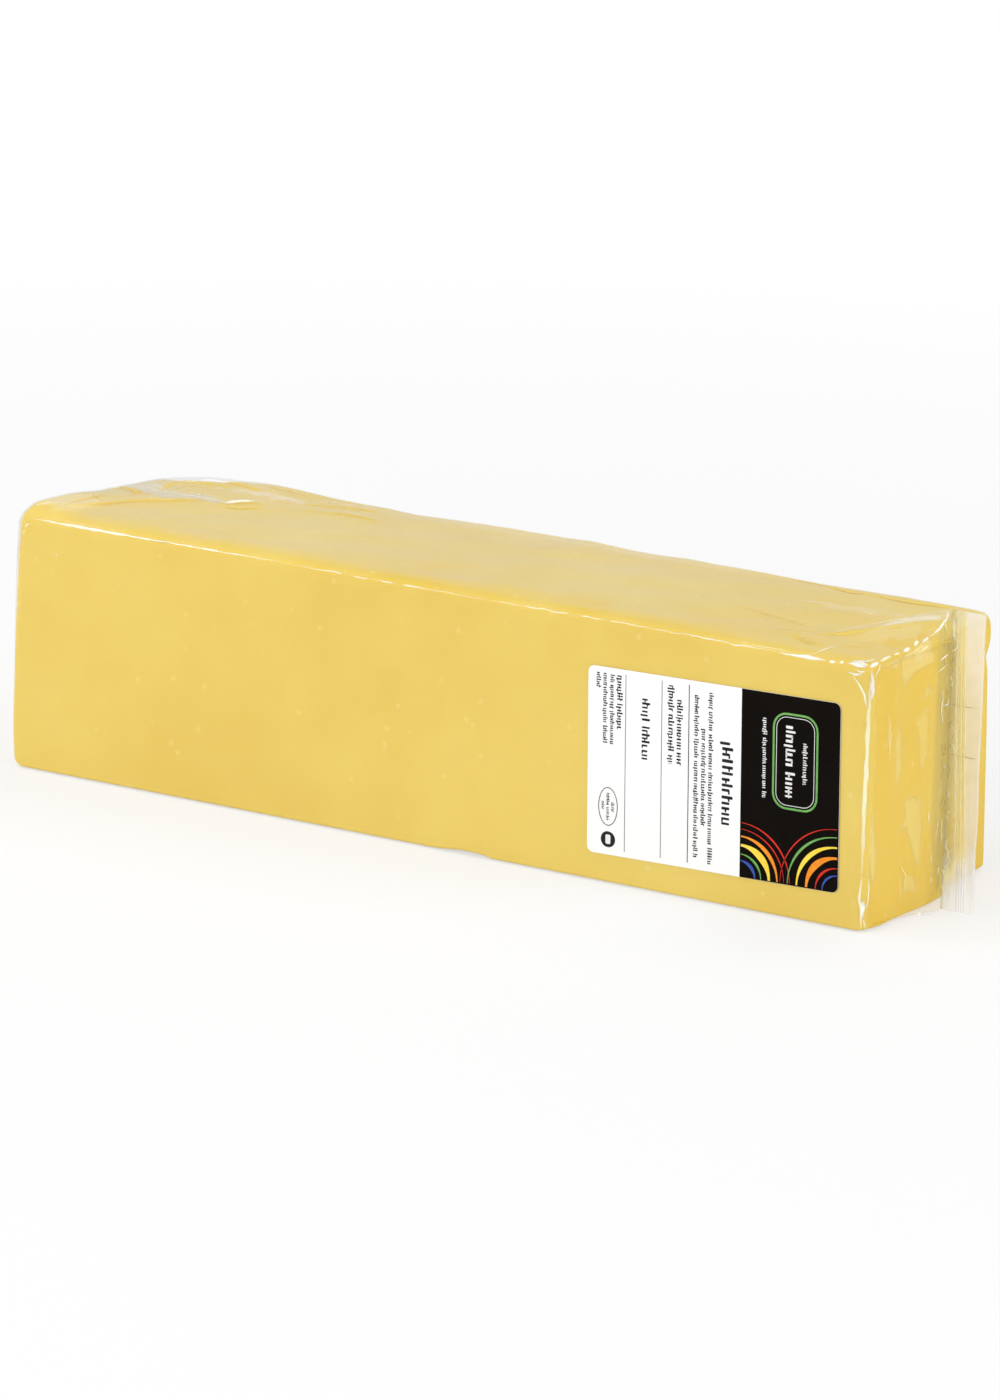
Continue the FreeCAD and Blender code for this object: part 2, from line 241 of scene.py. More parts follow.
@dataclass(frozen=True)
class BlockForm:
    """The outer form that the cheese and its film share.

    A section across the block is a rectangle with rounded corners. Its top edges, and the lean
    of its back, change along the block; the sealed end swells towards the root of the end seal,
    and the film stands up there as a low tent.
    """

    half_length: float = 175.0
    half_width: float = 45.0
    height: float = 95.0
    fin_place: float = 4.5
    fin_root: float = 180.6
    fin_top: float = 105.3
    # Height of the top edge at the back, along the block.
    back_x: tuple[float, ...] = (-175, -169, -162.5, -156, -147, -140, -132, -123, -110, -97, -84, -71,
                                 -58, -46, -33, -20, -8, 5, 17, 30, 42, 54, 80, 127, 163, 175)
    back_z: tuple[float, ...] = (90.1, 91.3, 92.6, 93.7, 95.1, 95.5, 95.8, 96.2, 95.9, 95.2, 94.9, 94.9,
                                 94.3, 94.7, 94.8, 95.2, 95.3, 95.4, 95.8, 95.1, 94.8, 95.3, 95.1, 94.9,
                                 94.8, 94.7)
    # Climb of the top face behind its front edge: its reach, its rise, what it loses towards the
    # sealed end, and what it gains at the worn end.
    climb_reach: float = 11.0
    climb_rise: float = 1.9
    climb_loss: float = 0.9
    climb_gain: float = 2.4
    # Notch in the front lower edge: its start, deepest stretch and end, and its reach up and under.
    notch_x: tuple[float, float, float, float] = (3.0, 16.0, 22.0, 27.5)
    notch_up: float = 10.0
    notch_under: float = 40.0
    # How far the sealed end stands out, across the block, and the depth of its flat facets.
    swell_y: tuple[float, ...] = (-45, -44.6, -41.1, -36.6, -26.2, -17.7, -10.6, -7.6, 4.5, 11.1, 25.8, 45)
    swell_x: tuple[float, ...] = (-0.2, 0.2, 1.9, 3.3, 3.5, 4.3, 5.2, 5.5, 5.6, 3.9, 2.2, 0.5)
    facet_depth: float = 0.8
    # How far the worn end stands out behind its plane, up the block.
    worn_z: tuple[float, ...] = (0, 15, 50, 80, 90, 96)
    worn_x: tuple[float, ...] = (1.5, 2.2, 1.6, 1.0, 0.3, 0.2)
    # How far the back stands out beside the sealed end, up the block.
    lean_z: tuple[float, ...] = (0, 20, 38, 53, 65, 74, 79.5, 82.6, 86, 90, 95)
    lean_y: tuple[float, ...] = (3.8, 3.2, 2.5, 2.0, 1.3, 0.5, -1.6, 1.9, 2.6, 2.2, 0.4)
    # Foot of the film tent, as corners on the top face.
    tent: tuple[tuple[float, float], ...] = ((181.5, -21.0), (143.0, -19.0), (166.0, 21.5), (181.5, 22.5))
    # Bend that lays the foot of the end seal on the table: radius, height of its knee, and heading.
    kick_round: float = 26.7
    kick_knee: float = 24.8
    kick_heading: float = 26.0

    def ridge(self, x: Array) -> Array:
        """Height of the front top edge, which wavers a little along the block."""
        return self.height + 0.05 + 0.22 * waver(x, 90.0, 11)

    def top(self, x: Array, y: Array) -> Array:
        """Height of the plain top face.

        It is a straight blend from the front edge to the back edge. Near the front edge it climbs
        along a parabola, most at the worn end, and low relief lies over it.

        Args:
            x: place along the block.
            y: place across it.

        Returns:
            The height at each place.
        """
        away = y + self.half_width
        share = np.clip(away / (2 * self.half_width), 0.0, 1.0)
        back = np.interp(x, self.back_x, self.back_z)
        climb = (self.climb_rise - self.climb_loss * ease(40.0, 170.0, x)
                 + self.climb_gain * ease(-150.0, -171.0, x) * ease(20.0, -26.0, y))
        climb = climb * (1.0 - np.clip(1.0 - away / self.climb_reach, 0.0, 1.0) ** 2)
        relief = 0.20 * wander(x, y, 46.0, 5) + 0.06 * wander(x, y, 15.0, 6)
        edge = 0.12 * waver(x, 14.0, 8) * (1.0 - ease(0.0, 9.0, away))
        return (self.ridge(x) * (1 - share) + back * share + climb * (1.0 - share ** 3)
                + relief * ease(0.0, 12.0, away) + edge)

    def back(self, x: Array, z: Array) -> Array:
        """How far the back face stands out behind its plane.

        It bellies a little near the worn end and towards the foot, and leans with lean_y beside
        the sealed end.

        Args:
            x: place along the block.
            z: height.

        Returns:
            The distance at each place.
        """
        plain = 0.4 * np.exp(-((x + 120.0) / 30.0) ** 2) + 0.4 * (1.0 - z / self.height)
        return plain + np.interp(z, self.lean_z, self.lean_y) * ease(60.0, 176.0, x) ** 1.6

    def notch(self, x: Array, y: Array, z: Array) -> Array:
        """Rise of a shallow notch in the front lower edge, 1 mm high, by easings along each axis."""
        start, full, fall, end = self.notch_x
        return (ease(start, full, x) * ease(end, fall, x) * ease(self.notch_up, 0.0, z)
                * ease(0.0, -self.notch_under, y))

    def worn(self, z: Array) -> Array:
        """X of the worn end's face at a height."""
        return -self.half_length - np.interp(z, self.worn_z, self.worn_x)

    def tent_rise(self, x: Array, y: Array) -> Array:
        """Rise of the film tent over the top face.

        It is the lowest of the planes that pass through the peak and through each side of the
        tent's foot, and never below 0.

        Args:
            x: place along the block.
            y: place across it.

        Returns:
            The rise at each place.
        """
        peak = np.array([self.fin_root + 0.8, self.fin_place])
        rise = np.full(np.broadcast(x, y).shape, np.inf)
        for (ax, ay), (bx, by) in zip(self.tent, self.tent[1:]):
            nx, ny = by - ay, ax - bx
            inside = nx * (peak[0] - ax) + ny * (peak[1] - ay)
            rise = np.minimum(rise, (nx * (x - ax) + ny * (y - ay)) / inside)
        return (self.fin_top - self.height) * np.clip(rise, 0.0, 1.0)

    def swell(self, y: Array, z: Array) -> Array:
        """How far the sealed end stands out beyond its plane.

        It follows the outline across the block, eases off towards the top away from the seal,
        and has flat facets from a sum of two triangle waves.

        Args:
            y: place across the block.
            z: height.

        Returns:
            The distance at each place.
        """
        across = np.interp(y, self.swell_y, self.swell_x)
        near = np.exp(-((y - self.fin_place) / 16.0) ** 2)
        fade = 1.0 - 0.5 * ease(72.0, 97.0, z) * (1.0 - near)
        wave = (np.abs(((y * 0.8 + z * 0.45) / 19.0) % 2.0 - 1.0)
                + np.abs(((y - z * 0.25) / 13.0) % 2.0 - 1.0))
        inside = ease(-44.0, -36.0, y) * ease(44.0, 36.0, y) * (1.0 - near) * ease(3.0, 14.0, z)
        return across * fade + self.facet_depth * (wave - 1.0) * inside

    def pleats(self, x: Array, y: Array) -> Array:
        """Rise of the low pleats in the film of the top face.

        Each pleat is a bell curve across a broken line, fading along it as a half sine.

        Args:
            x: place along the block.
            y: place across it.

        Returns:
            The rise at each place, that of the highest pleat there.
        """
        rise = 0.0 * x
        for path, width, height in TOP_PLEATS:
            line = resample(path, 2.0)
            gap = np.hypot(x[..., None] - line[:, 0], y[..., None] - line[:, 1])
            along = np.sin(np.pi * (gap.argmin(-1) + 0.5) / len(line)) ** 0.7
            rise = np.maximum(rise, height * along * np.exp(-(gap.min(-1) / width) ** 2))
        return rise

    def film_top(self, x: Array, y: Array) -> Array:
        """Height of the film over the top face: the face, the tent and the pleats."""
        return self.top(x, y) + self.tent_rise(x, y) + self.pleats(x, y)

    def kick(self, z: Array) -> tuple[Array, Array]:
        """Shift of the end seal's foot, laid on the table by a bend.

        Below the knee the seal follows an arc, so its shift is radius * (1 - cos(angle)), where
        sin(angle) is the depth below the knee over the radius.

        Args:
            z: height before the bend.

        Returns:
            The shift along X and along Y.
        """
        angle = np.arcsin(np.clip((self.kick_knee - z) / self.kick_round, 0.0, 0.9))
        shift = self.kick_round * (1.0 - np.cos(angle))
        heading = np.radians(self.kick_heading)
        return shift * np.sin(heading), -shift * np.cos(heading)


@dataclass(frozen=True)
class Loop:
    """A closed run of points round a section, as places on a rectangle and outward directions."""

    side_y: Array
    side_z: Array
    out_y: Array
    out_z: Array

    @staticmethod
    def build(front: int, top: int, back: int, base: int, corner: int) -> "Loop":
        """Walk round the section: up the front, over the top, down the back, along the base.

        Along a side the points are spaced by a cosine, so that they stand closer near the corners.

        Args:
            front: points on the front face.
            top: points on the top face.
            back: points on the back face.
            base: points on the base.
            corner: points on each rounded corner.

        Returns:
            The loop, each corner turning by a quarter circle.
        """
        corners = [(-1, -1), (-1, 1), (1, 1), (1, -1)]
        skip = 0.12
        runs = []
        for k, count in enumerate((front, top, back, base)):
            (ay, az), (by, bz) = corners[k], corners[(k + 1) % 4]
            share = (np.arange(count) + 0.5) / count
            share = 0.5 - 0.5 * np.cos(np.pi * (skip + (1 - 2 * skip) * share)) / np.cos(skip * np.pi)
            turn = np.pi * (1.0 - 0.5 * k)
            bend = turn - 0.5 * np.pi * np.arange(corner) / (corner - 1)
            even = np.ones(count)
            runs.append((ay + (by - ay) * share, az + (bz - az) * share,
                         np.cos(turn) * even, np.sin(turn) * even))
            runs.append((np.full(corner, float(by)), np.full(corner, float(bz)), np.cos(bend), np.sin(bend)))
        return Loop(*(np.concatenate(part) for part in zip(*runs)))


def round_off(depth: Array, radius: float) -> Array:
    """How far a rounded edge of that radius draws a section in, at a depth behind the end."""
    short = np.clip(radius - depth, 0.0, radius)
    return radius - np.sqrt(radius ** 2 - short ** 2)


@dataclass(frozen=True)
class Sleeve:
    """A closed skin round the block, at a gap inside the form.

    Its rows are sections along X. At the worn end they shrink onto an upright line, and at the
    sealed end they come together on the root of the end seal.
    """

    form: BlockForm
    gap: float
    edge_round: float
    worn_top: float
    worn_low: float
    tented: bool
    line_half: float = 0.14
    closing_rows: int = 24
    worn_side: float = 3.0
    worn_line: tuple[float, float, float] = (13.5, 24.0, 72.0)
    coarse: tuple[float, float, float] = (-95.0, 105.0, 3.4)

    def sections(self, loop: Loop, x: Array, side: Array, low: Array, high: Array) -> Array:
        """Points of plain sections at the places x.

        Each section is the loop on a rectangle with rounded corners, sharper at the foot, drawn
        in at its sides, foot and top. Its height is then moved with the form's top, its back with
        the lean, and its front lower edge with the notch.

        Args:
            loop: points round a section.
            x: places of the sections along the block.
            side: how far each is drawn in at its sides.
            low: how far each is drawn in at its foot.
            high: how far each is drawn in at its top.

        Returns:
            Points, section by section.
        """
        form = self.form
        x, side, low, high = (np.asarray(a, float)[:, None] for a in (x, side, low, high))
        radius = self.edge_round * (0.7 + 0.3 * loop.side_z)
        half_y = form.half_width - side - self.gap
        middle = 0.5 * (form.height + low - high)
        half_z = 0.5 * (form.height - low - high) - self.gap
        y = (half_y - radius) * loop.side_y + radius * loop.out_y
        z = middle + (half_z - radius) * loop.side_z + radius * loop.out_z
        up = z / form.height
        z = z + up ** 3 * (form.top(x + 0.0 * y, y) - form.height)
        z = z + form.notch(x, y, z)
        y = y + ease(0.0, 1.0, (y + form.half_width) / (2 * form.half_width)) * form.back(x, z)
        return np.stack([x + 0.0 * y, y, z], axis=-1)

    def build(self, loop: Loop, fine: float) -> tuple[Array, Array, Array]:
        """Rows of the skin.

        Args:
            loop: points round a section.
            fine: step between sections near the ends, in millimetres.

        Returns:
            Rows of the worn end, of the plain sections and of the sealed end.
        """
        form, gap = self.form, self.gap
        turn = np.linspace(0.0, 0.5 * np.pi, 10)
        worn_depth = self.worn_top * (1.0 - np.sin(turn[::-1]))
        sealed_depth = self.edge_round * (1.0 - np.sin(turn))
        left, right = -form.half_length + gap, form.half_length - gap
        start, end, step = self.coarse
        x = np.concatenate([left + worn_depth, np.arange(left + self.worn_top, start, fine)[1:],
                            np.arange(start, end, step), np.arange(end, right - self.edge_round, fine),
                            right - sealed_depth])
        from_worn, from_sealed = x - left, right - x
        small = round_off(from_sealed, self.edge_round)
        body = self.sections(loop, x, round_off(from_worn, self.worn_side) + small,
                             round_off(from_worn, self.worn_low) + 0.6 * small,
                             round_off(from_worn, self.worn_top) + small)
        x, y, z = body[..., 0], body[..., 1], body[..., 2]
        out = np.interp(z, form.worn_z, form.worn_x)
        x = x - out * ease(-150.0, left, x) + ease(155.0, right, x) * form.swell(y, z)
        if self.tented:
            z = z + np.clip(loop.out_z, 0.0, 1.0) ** 2 * (form.tent_rise(x, y) + form.pleats(x, y))
        body = np.stack([x, y, z], axis=-1)
        return self.worn_rows(body[0]), body, self.sealed_rows(body[-1], loop)

    def worn_rows(self, first: Array) -> Array:
        """Close the worn end.

        Args:
            first: points of the first section.

        Returns:
            Rings that grow from an upright line in the worn end to that section, over low relief.
        """
        place, low, high = self.worn_line
        share = np.linspace(1.0, 0.0, 15)[:-1, None]
        side = np.where(first[:, 1] < place, -1.0, 1.0)
        y = (place + side * self.line_half) * share + first[:, 1] * (1 - share)
        z = np.clip(first[:, 2], low, high) * share + first[:, 2] * (1 - share)
        plane = self.form.worn(z) + self.gap
        bow = 0.35 * np.sin(0.5 * np.pi * share) - 0.15 * wander(y, z, 18.0, 41) * np.sin(np.pi * share)
        return np.stack([plane - bow, y, z], axis=-1)

    def sealed_rows(self, last: Array, loop: Loop) -> Array:
        """Close the sealed end.

        Args:
            last: points of the last section.
            loop: points round a section.

        Returns:
            Rings from that section onto the root of the end seal.
        """
        form = self.form
        side = np.where(last[:, 1] < form.fin_place, -1.0, 1.0)
        spread = np.abs(last[:, 1] - form.fin_place) / (form.half_width - side * form.fin_place)
        over = np.clip(1.0 - spread, 0.0, 1.0) ** 1.2
        reach = form.fin_top - form.height + 0.5 if self.tented else 0.4
        root_top = form.height - 0.5 - self.gap
        root_z = np.clip(last[:, 2], 0.8 + self.gap, root_top)
        root_z = np.where(loop.out_z > 0.5, root_top + reach * over, root_z)
        share = np.linspace(0.0, 1.0, self.closing_rows)[1:, None]
        y = last[:, 1] * (1 - share) + (form.fin_place + side * self.line_half) * share
        z = last[:, 2] * (1 - share) + root_z * share
        blend = ease(0.0, 0.3, share)
        x = last[:, 0] * (1 - blend) + (form.half_length - self.gap + form.swell(y, z)) * blend
        joined = ease(0.7, 1.0, share)
        x = x * (1 - joined) + (form.fin_root - 2.0 * self.gap) * joined
        return np.stack([x, y, z], axis=-1)


# ---------------------------------------------------------------- shader parts


def add_node(tree: bpy.types.NodeTree, kind: str, inputs: dict[str | int, object] | None = None,
             **settings: object) -> bpy.types.Node:
    """Add a node to a tree.

    Args:
        tree: nodes that it joins.
        kind: Blender's name for its type.
        inputs: an output to link or a value to set, by the input's name or number.
        settings: values of its properties, set before its inputs.

    Returns:
        The node.
    """
    made = tree.nodes.new(kind)
    for key, value in settings.items():
        setattr(made, key, value)
    for key, value in (inputs or {}).items():
        if isinstance(value, bpy.types.NodeSocket):
            tree.links.new(value, made.inputs[key])
        else:
            made.inputs[key].default_value = value
    return made


def new_material(name: str) -> tuple[bpy.types.Material, bpy.types.NodeTree]:
    """Make an empty node material.

    Args:
        name: name of the material.

    Returns:
        The material and its tree.
    """
    material = bpy.data.materials.new(name)
    material.use_nodes = True
    material.node_tree.nodes.clear()
    return material, material.node_tree


def rgba(colour: Colour) -> tuple[float, float, float, float]:
    """A colour with full cover."""
    return (*colour, 1.0)


def maths(tree: bpy.types.NodeTree, operation: str, one: object, other: object) -> bpy.types.NodeSocket:
    """Work out one number from two."""
    return add_node(tree, "ShaderNodeMath", {0: one, 1: other}, operation=operation).outputs[0]


def blend_numbers(tree: bpy.types.NodeTree, share: object, low: object, high: object) -> bpy.types.NodeSocket:
    """Mix two numbers by a share."""
    mix = add_node(tree, "ShaderNodeMix", {"Factor": share, "A": low, "B": high}, data_type="FLOAT")
    return mix.outputs["Result"]


def blend_colours(tree: bpy.types.NodeTree, share: object, low: object, high: object) -> bpy.types.NodeSocket:
    """Mix two colours by a share; the colour sockets of the node are numbers 0, 6 and 7."""
    return add_node(tree, "ShaderNodeMix", {0: share, 6: low, 7: high}, data_type="RGBA").outputs[2]


def blend_shaders(tree: bpy.types.NodeTree, share: object, low: object, high: object) -> bpy.types.NodeSocket:
    """Mix two shaders by a share."""
    return add_node(tree, "ShaderNodeMixShader", {0: share, 1: low, 2: high}).outputs[0]


def spread(tree: bpy.types.NodeTree, value: object, start: Sequence[float],
           end: Sequence[float]) -> bpy.types.NodeSocket:
    """Map a number from one range onto another, and hold it there.

    Args:
        tree: nodes that the mapping joins.
        value: output that carries the number.
        start: the two ends of its own range.
        end: the two ends of the new range.

    Returns:
        The output with the new number.
    """
    limits = zip(("From Min", "From Max", "To Min", "To Max"), (*start, *end))
    return add_node(tree, "ShaderNodeMapRange", {"Value": value, **dict(limits)}).outputs["Result"]


def object_place(tree: bpy.types.NodeTree) -> bpy.types.NodeSocket:
    """Object coordinates."""
    return add_node(tree, "ShaderNodeTexCoord").outputs["Object"]


def mottle_group() -> bpy.types.NodeTree:
    """Build the shader group for uneven colour, or return it if it is there.

    Two noises of different sizes on Object coordinates are added into a mask from 0 to 1, and a
    third, finer one gives a normal.

    Returns:
        The group, with outputs Mask and Normal.
    """
    found = bpy.data.node_groups.get("mottle")
    if found:
        return found
    group = bpy.data.node_groups.new("mottle", "ShaderNodeTree")
    face = group.interface
    for label, start in (("Broad", 20.0), ("Fine", 160.0), ("Share", 0.35), ("Grain", 600.0), ("Depth", 0.1)):
        face.new_socket(label, in_out="INPUT", socket_type="NodeSocketFloat").default_value = start
    face.new_socket("Mask", in_out="OUTPUT", socket_type="NodeSocketFloat")
    face.new_socket("Normal", in_out="OUTPUT", socket_type="NodeSocketVector")
    inside = add_node(group, "NodeGroupInput").outputs
    place = object_place(group)
    broad, fine, grain = (
        add_node(group, "ShaderNodeTexNoise",
                 {"Vector": place, "Scale": inside[label], "Detail": detail}).outputs["Fac"]
        for label, detail in (("Broad", 3.0), ("Fine", 4.0), ("Grain", 2.0)))
    mask = spread(group, blend_numbers(group, inside["Share"], broad, fine), (0.3, 0.7), (0.0, 1.0))
    bump = add_node(group, "ShaderNodeBump",
                    {"Distance": 0.0004, "Strength": inside["Depth"], "Height": grain})
    add_node(group, "NodeGroupOutput", {"Mask": mask, "Normal": bump.outputs["Normal"]})
    return group


def add_mottle(tree: bpy.types.NodeTree, broad: float, fine: float, share: float, grain: float,
               depth: float) -> bpy.types.bpy_prop_collection:
    """Place the mottle group in a material.

    Args:
        tree: the material's nodes.
        broad: scale of the large patches.
        fine: scale of the small patches.
        share: how much the small patches count.
        grain: scale of the bump.
        depth: strength of the bump.

    Returns:
        Its outputs, Mask and Normal.
    """
    values = {"Broad": broad, "Fine": fine, "Share": share, "Grain": grain, "Depth": depth}
    return add_node(tree, "ShaderNodeGroup", values, node_tree=mottle_group()).outputs


# ---------------------------------------------------------------- finishes


@dataclass(frozen=True)
class CheeseFinish:
    """Smooth young gouda: two close yellows, scattered pale specks and a little light let in."""

    deep: Colour = (0.755, 0.535, 0.095)
    pale: Colour = (0.805, 0.610, 0.135)
    speck: Colour = (0.86, 0.70, 0.26)
    speck_scale: float = 110.0

    def build(self) -> bpy.types.Material:
        """Build the material.

        Returns:
            The material: mottled yellow with specks where a Voronoi cell's middle is near.
        """
        material, tree = new_material("cheese")
        mottle = add_mottle(tree, broad=13.0, fine=75.0, share=0.3, grain=420.0, depth=0.12)
        ground = blend_colours(tree, mottle["Mask"], rgba(self.deep), rgba(self.pale))
        cells = add_node(tree, "ShaderNodeTexVoronoi",
                         {"Vector": object_place(tree), "Scale": self.speck_scale})
        dots = spread(tree, cells.outputs["Distance"], (0.16, 0.05), (0.0, 0.45))
        body = add_node(tree, "ShaderNodeBsdfPrincipled", {
            "Base Color": blend_colours(tree, dots, ground, rgba(self.speck)), "Normal": mottle["Normal"],
            "Roughness": 0.6, "Specular IOR Level": 0.1, "Subsurface Weight": 0.15,
            "Subsurface Radius": (1.0, 0.6, 0.2), "Subsurface Scale": 0.003})
        add_node(tree, "ShaderNodeOutputMaterial", {"Surface": body.outputs["BSDF"]})
        return material


@dataclass(frozen=True)
class FilmFinish:
    """Clear film: see-through, glossy by the angle, and hazy where it is folded or welded.

    The mesh keeps three numbers at each point: haze_and_painted_light, the cover of the cloudy
    layer, the film's own milkiness at welds and folds and painted light elsewhere;
    milk_and_painted_light, which takes its colour from deep yellow at 0, through olive, grey and
    cream, to white at 1, where deep yellow, olive and grey are painted shade, cream is a painted
    highlight, and white is both milky film and painted highlight and sheen; and cling, the share of
    its shine that is lost where it lies tight on the cheese. The cloudy layer throws light forward
    more than back, so most lamp light still goes through it.
    """

    name: str = "clear_film"
    # Colours of the cloud: deep, olive and grey are painted shade, cream is a painted highlight, and white is
    # the milky film and also a painted highlight and sheen.
    deep: Colour = (0.90, 0.62, 0.05)
    olive: Colour = (0.48, 0.41, 0.13)
    grey: Colour = (0.60, 0.64, 0.68)
    cream: Colour = (1.0, 0.96, 0.60)
    white: Colour = (0.93, 0.95, 0.98)
    gloss: float = 0.06
    bend: float = 1.38
    shadow: float = 0.25

    def build(self) -> bpy.types.Material:
        """Build the material.

        The cloudy layer, whose colour holds the painted highlights, sheen and shade, is mixed over a
        clear one by its cover, and a mirror over both by what two faces of film reflect, on the outer
        side only and less where the film clings.

        Returns:
            The material.
        """
        material, tree = new_material(self.name)
        haze_and_painted_light, milk_and_painted_light, cling = (add_node(tree, "ShaderNodeAttribute", attribute_name=key).outputs["Fac"]
                             for key in ("haze_and_painted_light", "milk_and_painted_light", "cling"))
        crinkle = add_mottle(tree, broad=60.0, fine=240.0, share=0.5, grain=330.0, depth=0.10)["Normal"]
        # The tint ramp: painted shade at its low end, a painted highlight in cream, and milky white film with
        # painted highlight and sheen at its top.
        tint = add_node(tree, "ShaderNodeValToRGB", {"Fac": milk_and_painted_light})
        stops = tint.color_ramp.elements
        stops[0].color, stops[1].color = rgba(self.deep), rgba(self.white)
        for place, colour in ((0.25, self.olive), (0.5, self.grey), (0.75, self.cream)):
            stops.new(place).color = rgba(colour)
        cloud = add_node(tree, "ShaderNodeBsdfPrincipled", {
            "Base Color": tint.outputs["Color"], "Normal": crinkle, "Roughness": 0.35,
            "Specular IOR Level": 0.3})
        clear = add_node(tree, "ShaderNodeBsdfTransparent")
        shaded = add_node(tree, "ShaderNodeLightPath").outputs["Is Shadow Ray"]
        cover = maths(tree, "MULTIPLY", haze_and_painted_light, spread(tree, shaded, (0.0, 1.0), (1.0, self.shadow)))
        body = blend_shaders(tree, cover, clear.outputs[0], cloud.outputs[0])
        mirror = add_node(tree, "ShaderNodeBsdfAnisotropic", {"Roughness": self.gloss, "Normal": crinkle})
        one_face = add_node(tree, "ShaderNodeFresnel", {"IOR": self.bend}).outputs[0]
        behind = add_node(tree, "ShaderNodeNewGeometry").outputs["Backfacing"]
        outer = blend_numbers(tree, behind, self.both_faces(tree, one_face), 0.0)
        skin = blend_shaders(tree, blend_numbers(tree, cling, outer, 0.0), body, mirror.outputs[0])
        add_node(tree, "ShaderNodeOutputMaterial", {"Surface": skin})
        return material

    @staticmethod
    def both_faces(tree: bpy.types.NodeTree, one: bpy.types.NodeSocket) -> bpy.types.NodeSocket:
        """Share that two faces of the film reflect between them: 2f - f^2, where one reflects f."""
        return maths(tree, "SUBTRACT", maths(tree, "MULTIPLY", one, 2.0), maths(tree, "POWER", one, 2.0))


class Ink(Enum):
    """Colours of the label's paper and print: name, darker, lighter, roughness and shine."""

    PAPER = ("label_paper", (0.85, 0.85, 0.85), (0.89, 0.89, 0.89), 0.55, 0.3)
    BLACK = ("label_black", (0.004, 0.003, 0.002), (0.007, 0.005, 0.004), 0.35, 0.03)
    TEXT = ("label_text", (0.012, 0.012, 0.014), (0.03, 0.03, 0.032), 0.5, 0.1)
    RULE = ("label_rule", (0.16, 0.16, 0.17), (0.22, 0.22, 0.23), 0.5, 0.1)
    PRINT_WHITE = ("label_print_white", (0.80, 0.80, 0.80), (0.86, 0.86, 0.86), 0.5, 0.2)
    GREEN = ("label_green", (0.10, 0.33, 0.07), (0.22, 0.50, 0.14), 0.45, 0.15)
    RED = ("label_red", (0.55, 0.012, 0.012), (0.75, 0.05, 0.02), 0.45, 0.15)
    ORANGE = ("label_orange", (0.85, 0.22, 0.015), (0.95, 0.36, 0.03), 0.45, 0.15)
    YELLOW = ("label_yellow", (0.92, 0.62, 0.03), (0.95, 0.78, 0.12), 0.45, 0.15)
    BLUE = ("label_blue", (0.03, 0.06, 0.35), (0.06, 0.14, 0.55), 0.45, 0.15)

    def build(self) -> bpy.types.Material:
        """Build the finish, or return it if it is there.

        Returns:
            The material: two close colours, mottled like ink on paper.
        """
        name, dark, light, rough, shine = self.value
        found = bpy.data.materials.get(name)
        if found:
            return found
        material, tree = new_material(name)
        mottle = add_mottle(tree, broad=90.0, fine=900.0, share=0.6, grain=2600.0, depth=0.05)
        body = add_node(tree, "ShaderNodeBsdfPrincipled", {
            "Base Color": blend_colours(tree, mottle["Mask"], rgba(dark), rgba(light)),
            "Normal": mottle["Normal"], "Roughness": rough, "Specular IOR Level": shine})
        add_node(tree, "ShaderNodeOutputMaterial", {"Surface": body.outputs["BSDF"]})
        return material


# ---------------------------------------------------------------- the cheese


@dataclass
class Cheese:
    """The block itself, a hair inside its film, closed at both ends."""

    form: BlockForm
    gap: float = 0.2
    corner_cut: float = 1.4
    worn_cut: float = 1.0
    sealed_cut: float = 0.5

    def build(self) -> bpy.types.Object:
        """Build the block: the skin of the form at a gap, worn back where its film stands off it.

        The top behind the worn end is cut lower and the upper part of the worn end cut back, and
        the top edge of the sealed end is cut lower, each by easings along, across and up the block.

        Returns:
            The piece.
        """
        sleeve = Sleeve(self.form, self.gap, edge_round=2.4, worn_top=4.0, worn_low=4.8, tented=False)
        points = np.concatenate(sleeve.build(Loop.build(44, 48, 30, 20, 7), 2.6))
        x, y, z = points[..., 0], points[..., 1], points[..., 2]
        corner = ease(-132.0, -144.0, x) * ease(-172.0, -158.0, x) * ease(2.0, 16.0, y) * ease(70.0, 92.0, z)
        points[..., 0] += self.worn_cut * ease(-164.0, -175.0, x) * ease(50.0, 88.0, z)
        sealed = ease(168.0, 176.0, x) * ease(88.0, 94.0, z)
        points[..., 2] -= self.corner_cut * corner + self.sealed_cut * sealed
        return make_skin("cheese_block", points, CheeseFinish().build())


# ---------------------------------------------------------------- the film


@dataclass(frozen=True)
class Patch:
    """A pale place of painted sheen in the film of the top face, as an ellipse with a broken edge."""

    centre: tuple[float, float]
    reach: tuple[float, float]
    turn: float = 0.0
    haze_and_painted_light: float = 0.5
    milk_and_painted_light: float = 1.0
    grain: float = 0.5

    def cover(self, u: Array, v: Array, seed: int) -> Array:
        """Cover of the patch.

        Args:
            u: place along the block.
            v: place across it.
            seed: number that fixes the relief that breaks its edge.

        Returns:
            1 inside, easing to 0 at its edge.
        """
        c, s = np.cos(np.radians(self.turn)), np.sin(np.radians(self.turn))
        du, dv = u - self.centre[0], v - self.centre[1]
        far = np.hypot((du * c + dv * s) / self.reach[0], (dv * c - du * s) / self.reach[1])
        return ease(1.0, 0.45, far + self.grain * 0.5 * wander(u, v, 7.0, seed))


